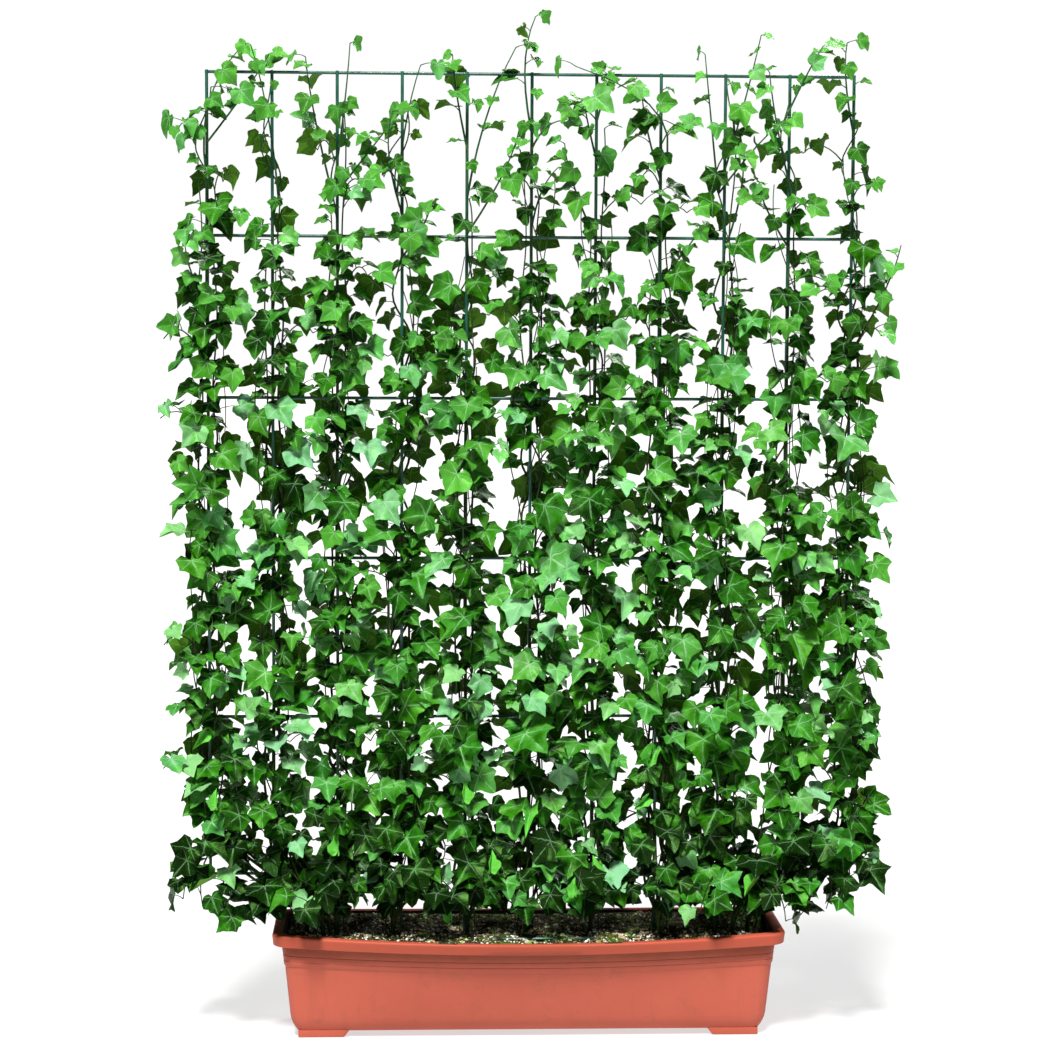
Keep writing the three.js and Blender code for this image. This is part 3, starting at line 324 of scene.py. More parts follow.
for side in (-1, 1):
    made = bmesh.ops.create_cube(trough_bm, size=1.0)["verts"]
    foot_size = (foot_outer - foot_inner, 2 * foot_half_depth, body_base + foot_wall)
    bmesh.ops.scale(trough_bm, vec=foot_size, verts=made)
    middle = Vector((side * (foot_inner + foot_outer) / 2, 0, (body_base + foot_wall) / 2))
    bmesh.ops.translate(trough_bm, vec=middle, verts=made)
    for vert in made:
        if vert.co.z < 1 and abs(vert.co.x) < foot_inner + 1:
            vert.co.x += side * foot_slope
    edges = {e for v in made for e in v.link_edges if any(w.co.z < 1 for w in e.verts)}
    bmesh.ops.bevel(trough_bm, geom=list(edges), offset=foot_round, segments=3, profile=0.5,
                    affect="EDGES", material=-1)


def node(tree, kind, **settings):
    """A shader node with its settings."""
    made = tree.nodes.new(kind)
    for name, value in settings.items():
        setattr(made, name, value)
    return made


def link(tree, value, target):
    """Leads a node's output into a socket, or sets the socket to a plain number or colour."""
    if isinstance(value, bpy.types.NodeSocket):
        tree.links.new(value, target)
    else:
        target.default_value = (*value, 1.0) if target.type == "RGBA" else value


def into_shader(tree, value, socket):
    link(tree, value, tree.nodes["Principled BSDF"].inputs[socket])


def noise_field(tree, scale, detail=4.0, roughness=0.55, stretch=(1.0, 1.0, 1.0)):
    """Noise on the piece's own place in space, so that it never slides."""
    mapping = node(tree, "ShaderNodeMapping")
    mapping.inputs["Scale"].default_value = stretch
    link(tree, node(tree, "ShaderNodeTexCoord").outputs["Object"], mapping.inputs["Vector"])
    field = node(tree, "ShaderNodeTexNoise")
    for name, value in (("Scale", scale), ("Detail", detail), ("Roughness", roughness)):
        field.inputs[name].default_value = value
    link(tree, mapping.outputs["Vector"], field.inputs["Vector"])
    return field.outputs["Fac"]


def object_axes(tree):
    """The X, Y and Z of each point of the piece."""
    axes = node(tree, "ShaderNodeSeparateXYZ")
    link(tree, node(tree, "ShaderNodeTexCoord").outputs["Object"], axes.inputs["Vector"])
    return axes.outputs


def ramp(tree, value, *stops):
    """A colour ramp with (place, colour) stops."""
    made = node(tree, "ShaderNodeValToRGB")
    elements = made.color_ramp.elements
    while len(elements) < len(stops):
        elements.new(0.5)
    for element, (at, colour) in zip(elements, stops):
        element.position = at
        element.color = (*colour, 1.0)
    link(tree, value, made.inputs["Fac"])
    return made.outputs["Color"]


def calc(tree, operation, a, b=None, c=None, clamp=False):
    """One step of arithmetic on sockets or plain numbers."""
    made = node(tree, "ShaderNodeMath", operation=operation, use_clamp=clamp)
    for socket, value in zip(made.inputs, (a, b, c)):
        if value is not None:
            link(tree, value, socket)
    return made.outputs["Value"]


def share_above(tree, value, least, gain):
    """How far a value rises above the least one, as a share from 0 to 1."""
    return calc(tree, "MULTIPLY", calc(tree, "SUBTRACT", value, least, clamp=True), gain, clamp=True)


def blend_colour(tree, share, a, b):
    """Mixes two colours, each a socket or a plain colour."""
    made = node(tree, "ShaderNodeMix", data_type="RGBA")
    link(tree, share, made.inputs["Factor"])
    for name, value in (("A", a), ("B", b)):
        link(tree, value, next(s for s in made.inputs if s.name == name and s.type == "RGBA"))
    return next(s for s in made.outputs if s.type == "RGBA")


def bump(tree, height, distance, strength):
    """A relief from a height field; the distance is its depth in metres."""
    made = node(tree, "ShaderNodeBump")
    made.inputs["Distance"].default_value = distance
    made.inputs["Strength"].default_value = strength
    link(tree, height, made.inputs["Height"])
    return made.outputs["Normal"]


def mottled_material(name, colour, roughness, tint, stops, grain, depth, strength=0.8, **sockets):
    """A finish of one noise that runs through a few colours, and a finer one as its relief."""
    material = new_material(name, colour, roughness, **sockets)
    tree = material.node_tree
    into_shader(tree, ramp(tree, noise_field(tree, *tint), *stops), "Base Color")
    into_shader(tree, bump(tree, noise_field(tree, *grain), depth, strength), "Normal")
    return material


stain_colour = (0.26, 0.08, 0.045)
streak_colour = (0.33, 0.09, 0.05)
scuff_colour = (0.24, 0.085, 0.036)
dirt_and_shade_colour = (0.17, 0.030, 0.004)
rim_colour = (0.405, 0.072, 0.036)
shade_band_foot = 126.0
shade_band_height = 16.0
rim_start = 149.0
terracotta = new_material("moulded_terracotta_plastic", (0.66, 0.15, 0.10), 0.5, Specular_IOR_Level=0.25)
tree = terracotta.node_tree
tint = ramp(tree, noise_field(tree, 7.0, 5.0), (0.3, (0.455, 0.092, 0.055)),
            (0.52, (0.485, 0.10, 0.060)), (0.75, (0.515, 0.108, 0.066)))
stains = noise_field(tree, 26.0, 6.0, 0.7)
tint = blend_colour(tree, share_above(tree, stains, 0.585, 3.0), tint, stain_colour)
streaks = noise_field(tree, 60.0, 3.0, 0.6, (1.0, 1.0, 0.06))
tint = blend_colour(tree, share_above(tree, streaks, 0.56, 1.6), tint, streak_colour)
axes = object_axes(tree)
squared = calc(tree, "POWER", calc(tree, "ABSOLUTE", axes["X"]), 2.0)
sunk = calc(tree, "MULTIPLY_ADD", squared, -rim_sag * MM / (trough_length * MM / 2) ** 2, rim_sag * MM)
raised = calc(tree, "ADD", axes["Z"], sunk)
on_rim = share_above(tree, raised, rim_start * MM, 1 / MM)
# A band under the rim is darkened to brown: partly real dirt and partly painted shade, for the shadow that the rim
# casts on the body.
dirt_and_shade_band = share_above(tree, raised, shade_band_foot * MM, 1 / (shade_band_height * MM))
dirt_and_shade_band = calc(tree, "MULTIPLY", dirt_and_shade_band, calc(tree, "SUBTRACT", 1.0, on_rim))
dirt_and_shade = calc(tree, "MULTIPLY", dirt_and_shade_band, calc(tree, "MULTIPLY_ADD", stains, 0.6, 0.34))
tint = blend_colour(tree, dirt_and_shade, tint, dirt_and_shade_colour)
scuffs = share_above(tree, noise_field(tree, 17.0, 7.0, 0.72), 0.575, 4.5)
tint = blend_colour(tree, calc(tree, "MULTIPLY", scuffs, 0.5), tint, scuff_colour)
tint = blend_colour(tree, calc(tree, "MULTIPLY", on_rim, 0.85), tint, rim_colour)
into_shader(tree, tint, "Base Color")
into_shader(tree, calc(tree, "MULTIPLY_ADD", noise_field(tree, 90.0, 5.0), 0.25, 0.42), "Roughness")
into_shader(tree, bump(tree, noise_field(tree, 900.0, 2.0), 0.00008, 0.5), "Normal")

# The inner wall below the rim is near black: partly soil stain and partly painted shade, for the shade inside the
# trough.
stain_and_shade_drop = 8.0
stained_and_shaded = mottled_material(
    "soil_stained_shaded_plastic", (0.1, 0.03, 0.015), 0.8, (40.0, 5.0, 0.65),
    ((0.38, (0.012, 0.007, 0.004)), (0.6, (0.05, 0.018, 0.009)), (0.75, (0.16, 0.04, 0.022))),
    (700.0, 4.0), 0.0003, 0.7)
for face in trough_bm.faces:
    middle = face.calc_center_median()
    inward = face.normal.x * middle.x + face.normal.y * middle.y < -1
    if inward and body_base + 2 < middle.z < rim_top - stain_and_shade_drop:
        face.material_index = 1
trough = finish_piece(trough_bm, "trough_shell", [terracotta, stained_and_shaded], ["trough"])
trough.data.set_sharp_from_angle(angle=trough_crease)


# Soil. A dark potting mix of peat and bark fills the trough to just under the rim. White
# perlite grains, flakes of bark and small clods lie on top, and moss has spread in patches
# along the front.
soil_top = 151.0
soil_gap = 0.8
soil_edge = soil_top - 4
soil_slack = 0.9
soil_floor = body_base + wall + 0.5
soil_cells = (230, 64)
soil_fit = 0.999
soil_taper = (0.93, 0.62)
broad_swell = 2.6
narrow_swell = 1.6
middle_heap = 2.1
edge_fall = 4
back_rise = (3, 10)
coarse_crumb = (0.09, 1.6)
fine_crumb = (0.31, 1.2)


def lump(x, y):
    """The slow swell of the soil along and across the trough."""
    broad = math.sin(x * 0.031 + 1) * math.cos(y * 0.06)
    narrow = math.sin(x * 0.083 + y * 0.05)
    return broad_swell * broad + narrow_swell * narrow


def soil_half(x):
    """How far the soil reaches towards front and back at a place along the trough."""
    up_step = (soil_edge - step_height) / (rim_top - step_height)
    inset = mix(body_inset(step_height - 3), rim_overhang, up_step)
    half_length, half_depth, corner = level_size(inset, wall + soil_gap + soil_slack)
    straight = half_length - corner
    reach = half_depth + bow * height_share(soil_edge) * max(0.0, 1 - (x / straight) ** 2)
    over = abs(x) - straight
    if over > 0:
        reach = half_depth - corner + math.sqrt(max(0.0, corner * corner - over * over))
    return half_length, reach


def soil_height(x, y):
    """The lie of the soil: heaped in the middle, lower at the walls, and crumbly all over."""
    half_length, reach = soil_half(x)
    near_wall = min(reach - abs(y), half_length - abs(x))
    level = soil_top + lump(x, y) * min(1.0, near_wall / 30) + middle_heap * ease((near_wall - 22) / 42)
    front = 1 - ease((y - 10) / 70)
    level -= edge_fall * (1 - ease(near_wall / 22)) * front
    sag = rim_sag * height_share(soil_edge) * (1 - (x / half_length) ** 2)
    level -= sag * (1 - ease(near_wall / 26)) * front
    level += (1 - front) * mix(*back_rise, ease(abs(x) / half_length))
    grain = noise.noise(Vector((x, y, 0)) * coarse_crumb[0]) * coarse_crumb[1]
    grain += noise.noise(Vector((x, y, 5)) * fine_crumb[0]) * fine_crumb[1]
    return level + grain * min(1.0, near_wall / 4)


soil_bm = bmesh.new()
bmesh.ops.create_grid(soil_bm, x_segments=soil_cells[0], y_segments=soil_cells[1], size=1.0)
length_half = soil_half(0)[0]
for vert in soil_bm.verts:
    x = vert.co.x * length_half * soil_fit
    y = vert.co.y * soil_half(x)[1]
    vert.co = (x, y, soil_height(x, y))
edges = [edge for edge in soil_bm.edges if edge.is_boundary]
made = bmesh.ops.extrude_edge_only(soil_bm, edges=edges)["geom"]
for vert in made:
    if isinstance(vert, bmesh.types.BMVert):
        vert.co = (vert.co.x * soil_taper[0], vert.co.y * soil_taper[1], soil_floor)
bmesh.ops.holes_fill(soil_bm, edges=[e for e in made if isinstance(e, bmesh.types.BMEdge)])
bmesh.ops.recalc_face_normals(soil_bm, faces=soil_bm.faces)

peat = new_material("potting_mix", (0.03, 0.02, 0.012), 0.95, Specular_IOR_Level=0.2)
tree = peat.node_tree
crumbs = noise_field(tree, 260.0, 5.0, 0.7)
dark = ramp(tree, crumbs, (0.38, (0.0012, 0.001, 0.0004)), (0.50, (0.010, 0.009, 0.003)),
            (0.60, (0.075, 0.058, 0.026)), (0.72, (0.36, 0.28, 0.15)))
moss_share = share_above(tree, noise_field(tree, 13.0, 3.0, 0.6), 0.5, 9.0)
moss_tint = ramp(tree, noise_field(tree, 420.0, 4.0), (0.38, (0.004, 0.008, 0.001)),
                 (0.6, (0.12, 0.18, 0.024)))
into_shader(tree, blend_colour(tree, moss_share, dark, moss_tint), "Base Color")
into_shader(tree, bump(tree, crumbs, 0.002, 0.9), "Normal")
finish_piece(soil_bm, "soil_bed", [peat], ["soil"])


def draw(*keys):
    """A number between 0 and 1 that depends only on the whole numbers given."""
    h = 0x9E3779B9
    for key in keys:
        h = ((h ^ (key + 0x7F4A7C15)) & 0xFFFFFFFF) * 0x85EBCA6B & 0xFFFFFFFF
        h ^= h >> 13
        h = h * 0xC2B2AE35 & 0xFFFFFFFF
        h ^= h >> 16
    return h / 4294967296


def scatter(name, material, count, seed, low, high, stretch, cluster=None):
    """A piece of small broken lumps laid on the soil, each a dented twenty-sided ball."""
    bm = bmesh.new()
    half = soil_half(0)[0] - 12
    for i in range(count):
        x = mix(-half, half, draw(seed, i, 1))
        y = mix(-1, 1, draw(seed, i, 2)) * (soil_half(x)[1] - 8)
        if cluster and noise.noise(Vector((x, y, seed)) * 0.02) < cluster:
            continue
        size = mix(low, high, draw(seed, i, 3) ** 2)
        turned = Matrix.Rotation(6.3 * draw(seed, i, 4), 4, "Z") @ Matrix.Rotation(
            6.3 * draw(seed, i, 5), 4, "X")
        shape = Matrix.Diagonal((*stretch, 1.0)) * size
        shape[3][3] = 1.0
        at = Matrix.Translation((x, y, soil_height(x, y) + 0.2 * size))
        made = bmesh.ops.create_icosphere(bm, subdivisions=1, radius=1.0, matrix=at @ turned @ shape)
        for k, vert in enumerate(made["verts"]):
            vert.co += (vert.co - at.translation) * 0.5 * (draw(seed, i, 6, k) - 0.5)
    finish_piece(bm, name, [material], smooth=False)


clods = mottled_material(
    "peat_clods", (0.05, 0.03, 0.02), 0.95, (150.0, 3.0),
    ((0.35, (0.02, 0.015, 0.008)), (0.55, (0.15, 0.12, 0.06)), (0.7, (0.42, 0.38, 0.22))),
    (1200.0, 2.0), 0.0004, Specular_IOR_Level=0.2)
scatter("soil_clods", clods, 1500, 71, 0.9, 3.4, (1.0, 0.9, 0.7))

perlite = mottled_material(
    "perlite", (0.78, 0.76, 0.7), 0.85, (500.0, 3.0),
    ((0.35, (0.68, 0.72, 0.6)), (0.6, (0.9, 0.93, 0.85))), (2400.0, 2.0), 0.0002)
scatter("perlite_grains", perlite, 1500, 72, 0.8, 2.8, (1.0, 1.0, 0.8))

bark = mottled_material(
    "bark_flakes", (0.28, 0.18, 0.1), 0.85, (220.0, 4.0, 0.6, (1.0, 4.0, 1.0)),
    ((0.35, (0.18, 0.12, 0.06)), (0.55, (0.45, 0.35, 0.2)), (0.72, (0.72, 0.64, 0.44))),
    (1500.0, 3.0), 0.0003)
scatter("bark_flakes", bark, 700, 73, 1.6, 5.5, (1.5, 0.7, 0.22))

moss = mottled_material(
    "moss", (0.14, 0.2, 0.03), 0.9, (330.0, 4.0),
    ((0.32, (0.04, 0.1, 0.02)), (0.52, (0.22, 0.4, 0.06)), (0.7, (0.5, 0.68, 0.2))),
    (2000.0, 3.0), 0.0006, 1.0, Specular_IOR_Level=0.2)
scatter("moss_tufts", moss, 2600, 74, 1.2, 3.0, (1.0, 1.0, 0.7), cluster=0.12)


# Trellis. Upright wires 100 mm apart are welded to cross wires 250 mm apart, and the whole
# panel is coated dark green. Seven uprights run on down into the soil as its legs.
wire_pitch = 100.0
wire_count = 11
wire_radius = 2.5
row_pitch = 250
row_count = 6
lowest_row = 245
highest_row = lowest_row + row_pitch * (row_count - 1)
row_setback = 4.1
row_overhang = 3.0
leg_reach = 300.0
leg_foot = 62.0
weld_radii = (2.9, 2.0, 2.9)
wire_crease = math.radians(50)
wire_xs = [(i - (wire_count - 1) / 2) * wire_pitch for i in range(wire_count)]
row_zs = [lowest_row + row_pitch * k for k in range(row_count)]


def add_wire(bm, start, end, radius, sides=12, round_end=0.8):
    """A round wire between two points, with its cut ends eased."""
    along = end - start
    turned = along.to_track_quat("Z", "Y").to_matrix().to_4x4()
    matrix = Matrix.Translation((start + end) / 2) @ turned
    made = bmesh.ops.create_cone(
        bm, cap_ends=True, segments=sides, radius1=radius, radius2=radius,
        depth=along.length, matrix=matrix)["verts"]
    rims = [e for v in made for e in v.link_edges if len(e.link_faces) == 2
            and any(len(f.verts) > 4 for f in e.link_faces)]
    bmesh.ops.bevel(bm, geom=list(set(rims)), offset=round_end, segments=2, profile=0.5,
                    affect="EDGES", material=-1)


trellis_bm = bmesh.new()
for x in wire_xs:
    low = leg_foot if abs(x) <= leg_reach else lowest_row - row_overhang
    add_wire(trellis_bm, Vector((x, 0, low)), Vector((x, 0, highest_row + row_overhang)), wire_radius)
side_reach = wire_xs[-1] + row_overhang
for z in row_zs:
    left, right = Vector((-side_reach, row_setback, z)), Vector((side_reach, row_setback, z))
    add_wire(trellis_bm, left, right, wire_radius)
    for x in wire_xs:
        weld = Matrix.Translation((x, row_setback / 2, z)) @ Matrix.Diagonal((*weld_radii, 1.0))
        bmesh.ops.create_icosphere(trellis_bm, subdivisions=2, radius=1.0, matrix=weld)

coating = mottled_material(
    "green_wire_coating", (0.006, 0.09, 0.052), 0.38, (40.0, 5.0),
    ((0.3, (0.004, 0.06, 0.036)), (0.6, (0.008, 0.105, 0.062)), (0.8, (0.02, 0.15, 0.09))),
    (700.0, 3.0), 0.00015, 0.6, Coat_Weight=0.25, Coat_Roughness=0.2)
tree = coating.node_tree
into_shader(tree, calc(tree, "MULTIPLY_ADD", noise_field(tree, 300.0, 3.0), 0.25, 0.27), "Roughness")
trellis = finish_piece(trellis_bm, "trellis_wires", [coating], ["trellis"])
trellis.data.set_sharp_from_angle(angle=wire_crease)


# Loose rod. A short straight offcut of the same coated wire lies half sunk in the soil, in
# front of the plants.
rod_length = 210.0
rod_radius = 2.5
rod_x = 45.0
rod_y = -56.0
rod_height = soil_top + 1.4
rod_sides = 16
rod_bm = bmesh.new()
add_wire(rod_bm, Vector((rod_x - rod_length / 2, rod_y, rod_height)),
         Vector((rod_x + rod_length / 2, rod_y, rod_height)), rod_radius, rod_sides)
rod = finish_piece(rod_bm, "loose_coated_rod", [coating], ["loose_rod"])
rod.data.set_sharp_from_angle(angle=wire_crease)


# Ivy stems. Each of the eleven plants sends up four strands, which lean from the soil to
# their wire and wind round it, always in front of the cross wires. Short twigs and long free
# shoots leave the strands. Every place follows from the plant's and the strand's number.
strand_count = 4
strand_girths = (3.2, 2.7, 2.4, 2.1)
strand_fans = (0, 13, -15, 24)
strand_seats = (0, 62, -62, 96)
strand_tops = ((1440, 46), (1290, 190), (920, 460), (560, 300))
strand_spacings = (24, 27, 27, 30)
tip_girth = 1.05
leader_hug = 7
follower_hug = 9
turn_chance = 0.34
strand_foot = 162
crown_depth = 96
outer_crowns = (None, (322, -34), (348, -14))
meet_heights = (310, 325, 335)
free_key = 900
twig_key = 100
twig_leaves = 3
twig_spacing = 52
foot_twigs = 4
foot_key = 600
back_twigs = 3
back_key = 700
lowest_twig = 215
thin_above = 1180
free_shoots = (
    dict(wire=9, start=250, tip=(396, -104, 190), bow=12, leaves=4),
    dict(wire=2, start=1400, tip=(-280, -14, 1538), bow=8, leaves=3),
    dict(wire=2, start=1420, tip=(-348, -16, 1517), bow=-12, leaves=6),
    dict(wire=2, start=1304, tip=(-197, -18, 1441), bow=16, leaves=6),
    dict(wire=3, start=1290, tip=(-214, -36, 1434), bow=-24, leaves=4),
    dict(wire=3, start=1430, tip=(-172, -14, 1506), bow=-8, leaves=2),
    dict(wire=4, start=1377, tip=(-123, -16, 1522), bow=-10, leaves=5),
    dict(wire=4, start=1307, tip=(-26, -16, 1534), bow=-14, leaves=4),
    dict(wire=4, start=1250, tip=(-20, -18, 1412), bow=30, leaves=7),
    dict(wire=5, start=1377, tip=(48, -14, 1424), bow=-6, leaves=2),
    dict(wire=5, start=1249, tip=(40, -16, 1352), bow=-12, leaves=4),
    dict(wire=6, start=1240, tip=(50, -16, 1388), bow=-22, leaves=6),
    dict(wire=6, start=1360, tip=(80, -14, 1453), bow=-8, leaves=4),
    dict(wire=6, start=1424, tip=(120, -14, 1500), bow=6, leaves=4),
    dict(wire=7, start=1348, tip=(66, -36, 1504), bow=112, leaves=8),
    dict(wire=8, start=1424, tip=(266, -14, 1526), bow=-4, leaves=4),
    dict(wire=8, start=1400, tip=(352, -16, 1556), bow=10, leaves=6),
    dict(wire=8, start=1374, tip=(392, -18, 1430), bow=6, leaves=5),
    dict(wire=9, start=1424, tip=(448, -14, 1540), bow=6, leaves=4),
    dict(wire=9, start=1330, tip=(366, -14, 1500), bow=-14, leaves=5),
    dict(wire=10, start=1400, tip=(486, -12, 1546), bow=-16, leaves=6),
    dict(wire=10, start=1130, tip=(574, -20, 1236), bow=26, leaves=6),
    dict(wire=0, start=1130, tip=(-532, -22, 1226), bow=-14, leaves=4),
    dict(wire=0, start=1385, tip=(-404, -16, 1520), bow=24, leaves=6),
    dict(wire=0, start=1340, tip=(-452, -16, 1524), bow=-40, leaves=7),
    dict(wire=1, start=1384, tip=(-430, -36, 1532), bow=10, leaves=5),
    dict(wire=3, start=1210, tip=(-158, -18, 1290), bow=24, leaves=5),
    dict(wire=7, start=1330, tip=(168, -18, 1476), bow=-16, leaves=5),
    dict(wire=7, start=1180, tip=(262, -16, 1262), bow=22, leaves=6),
    dict(wire=9, start=1230, tip=(352, -18, 1330), bow=-26, leaves=6),
    dict(wire=8, start=1230, tip=(322, -20, 1400), bow=26, leaves=5),
    dict(wire=0, start=320, tip=(-540, -36, 214), bow=-14, leaves=7),
    dict(wire=0, start=300, tip=(-512, -12, 196), bow=-26, leaves=6),
    dict(wire=0, start=270, tip=(-470, -46, 184), bow=-34, leaves=6),
    dict(wire=1, start=250, tip=(-428, -52, 186), bow=-24, leaves=6),
    dict(wire=10, start=320, tip=(530, -40, 234), bow=16, leaves=7),
    dict(wire=10, start=300, tip=(506, -14, 206), bow=26, leaves=6),
    dict(wire=10, start=270, tip=(468, -48, 196), bow=30, leaves=6),
    dict(wire=9, start=250, tip=(426, -56, 188), bow=26, leaves=6),
    dict(wire=5, start=1410, tip=(4, -16, 1581), bow=-26, leaves=5),
    dict(wire=2, start=240, tip=(-362, -106, 190), bow=-10, leaves=4),
    dict(wire=8, start=250, tip=(262, -112, 208), bow=-10, leaves=4),
    dict(wire=3, start=340, tip=(-150, 142, 206), bow=80, leaves=4),
    dict(wire=7, start=350, tip=(150, 140, 212), bow=-80, leaves=4),
)


def add(a, b, k=1.0):
    return (a[0] + b[0] * k, a[1] + b[1] * k, a[2] + b[2] * k)


def dot(a, b):
    return a[0] * b[0] + a[1] * b[1] + a[2] * b[2]


def cross(a, b):
    return (a[1] * b[2] - a[2] * b[1], a[2] * b[0] - a[0] * b[2], a[0] * b[1] - a[1] * b[0])


def size_of(a):
    return math.sqrt(dot(a, a))


def unit(a):
    length = size_of(a)
    return (a[0] / length, a[1] / length, a[2] / length)


def out_rank(vine):
    """How many places a wire stands out past the last leg."""
    return max(0, round((abs(wire_xs[vine]) - leg_reach) / wire_pitch))


def crown_of(vine):
    """Where a vine comes out of the soil."""
    x = wire_xs[vine]
    rank = out_rank(vine)
    if rank > 0:
        return (math.copysign(outer_crowns[rank][0], x), outer_crowns[rank][1])
    return (x + 26 * (draw(vine, 11) - 0.5), -20 - 10 * draw(vine, 12))


def make_strand(vine, number):
    """A strand: where it is at each height, where it ends, and how thick it is."""
    crown = crown_of(vine)
    wire_x = wire_xs[vine]
    meet = meet_heights[out_rank(vine)]
    top = strand_tops[number][0] + strand_tops[number][1] * draw(vine, number, 21)
    fan = strand_fans[number]
    seat = strand_seats[number]
    hug = leader_hug if number == 0 else follower_hug
    anchors = [dict(z=meet, angle=seat * 0.8, radius=hug + 2)]
    for z in row_zs:
        if z > meet:
            lean = seat + 24 * (draw(vine, number, z, 31) - 0.5)
            anchors.append(dict(z=z, angle=lean * (0.75 if number == 3 else 1), radius=hug))
    anchors.append(dict(z=highest_row + row_pitch, angle=seat * 0.75, radius=hug))
    for k in range(1, len(anchors)):
        pick = draw(vine, number, k, 32)
        whole = -360 if pick < turn_chance / 2 else 360 if pick < turn_chance else 0
        anchors[k]["turn"] = whole
        slack = (3 if whole else 0) + (0 if number == 0 else 4)
        anchors[k]["loose"] = slack + 7 * draw(vine, number, k, 33)
    meet_angle = (anchors[0]["angle"] - 90) * math.pi / 180
    meet_x = wire_x + anchors[0]["radius"] * math.cos(meet_angle)
    meet_y = anchors[0]["radius"] * math.sin(meet_angle)

    def at(z):
        if z <= meet:
            t = ease((z - strand_foot) / (meet - strand_foot))
            swell = math.sin(math.pi * t)
            x = mix(crown[0], meet_x, t) + fan * swell
            return (x, mix(crown[1], meet_y, t) - 0.25 * abs(fan) * swell, z)
        k = 1
        while k + 1 < len(anchors) and anchors[k]["z"] < z:
            k += 1
        a, b = anchors[k - 1], anchors[k]
        share = (z - a["z"]) / (b["z"] - a["z"])
        angle = mix(a["angle"], b["angle"] + b["turn"], ease(share))
        swing = math.sin(math.pi * share) ** 2
        radius = mix(a["radius"], b["radius"], ease(share)) + b["loose"] * swing
        turned = (angle - 90) * math.pi / 180
        return (wire_x + radius * math.cos(turned), radius * math.sin(turned), z)

    def girth(z):
        share = min(1.0, max(0.0, (z - strand_foot) / (top - strand_foot)))
        return mix(strand_girths[number], tip_girth, share)

    low = crown_depth if number == 0 else strand_foot - 4 + 5 * number
    return dict(vine=vine, number=number, at=at, girth=girth, low=low, top=top)


def make_arc(vine, start, pull, tip, thick, leaves, key):
    """A twig or free shoot: an arc from a strand, bent towards a pull point."""
    def at(t):
        a, b, c = (1 - t) * (1 - t), 2 * t * (1 - t), t * t
        return tuple(a * start[k] + b * pull[k] + c * tip[k] for k in range(3))
    return dict(vine=vine, at=at, thick=thick, leaves=leaves, key=key)


def clear_of_wires(points, margin):
    for x, y, z in points:
        if any(math.hypot(x - wire, y) < wire_radius + margin for wire in wire_xs):
            return False
        if any(math.hypot(z - row, y - row_setback) < wire_radius + margin for row in row_zs):
            return False
    return True


def above_trough(points, margin):
    return all(
        z > rim_top + margin or abs(x) > trough_length / 2 + margin
        or abs(y) > trough_depth / 2 + bow + margin for x, y, z in points)


def make_twigs(vine, strands):
    arcs = []
    for i, shoot in enumerate(free_shoots):
        if shoot["wire"] != vine:
            continue
        height = shoot["start"]
        while strands[0]["at"](height)[1] > -5:
            height -= 6
        start = strands[0]["at"](height)
        tip = shoot["tip"]
        pull = [mix(start[k], tip[k], 0.5) for k in range(3)]
        pull[0] += shoot["bow"]
        if tip[1] < 0:
            pull[1] = min(pull[1], tip[1]) - 6
        pull[2] += 22
        arcs.append(make_arc(vine, start, pull, tip, 1.8, shoot["leaves"], free_key + i))
    count = math.floor((strands[0]["top"] - lowest_twig) / twig_spacing)
    for i in range(count):
        z = lowest_twig + twig_spacing * (i + 0.7 * draw(vine, i, 41))
        if z > thin_above and draw(vine, i, 42) < 0.3:
            continue
        host = strands[math.floor(len(strands) * draw(vine, i, 43))]
        if z < host["low"] + 20 or z > host["top"] - 20:
            continue
        start = host["at"](z)
        outward = math.atan2(start[1], start[0] - wire_xs[vine])
        angle = outward + 2.1 * (draw(vine, i, 44) - 0.5)
        length = 32 + 40 * draw(vine, i, 45)
        rise = 18 + 30 * draw(vine, i, 46)
        tip = add(start, (length * math.cos(angle), length * math.sin(angle), rise * 0.4))
        pull = [mix(start[k], tip[k], 0.55) for k in range(3)]
        pull[2] += rise
        arc = make_arc(vine, start, pull, tip, 1.2, twig_leaves, twig_key + i)
        path = [arc["at"](t) for t in (0.25, 0.5, 0.75, 1)]
        if clear_of_wires(path, 3) and above_trough(path, 8):
            arcs.append(arc)
    for i in range(foot_twigs):
        host = strands[i % len(strands)]
        start = host["at"](184 + 34 * draw(vine, i, 47))
        side = 1 if i % 2 else -1
        length = 34 + 44 * draw(vine, i, 48)
        depth = mix(-46, 58, draw(vine, i, 49))
        tip = (start[0] + side * length, start[1] + depth, start[2] + 20 + 26 * draw(vine, i, 50))
        pull = [mix(start[k], tip[k], 0.5) for k in range(3)]
        pull[2] += 16
        arc = make_arc(vine, start, pull, tip, 1.3, 4, foot_key + i)
        path = [arc["at"](t) for t in (0.25, 0.5, 0.75, 1)]
        if clear_of_wires(path, 3):
            arcs.append(arc)
    return arcs


vines = []
for vine in range(wire_count):
    strands = [make_strand(vine, number) for number in range(strand_count)]
    vines.append(dict(vine=vine, strands=strands, arcs=make_twigs(vine, strands)))


# Ivy leaves. They follow each other down every strand, swinging from side to side, and sit
# closer together on the twigs and free shoots. A leaf that would touch a wire, the trough or
# another leaf is turned on its stalk, or given a longer one, until it hangs free.
kink_limit = 0.8
edge_on = 0.02
cell_size = 60
leaf_tries = 7
lowest_leaf = 190
leaf_swings = (0.9, -1.1, 0.2, 1.7, -0.5, -1.8, 1.3)


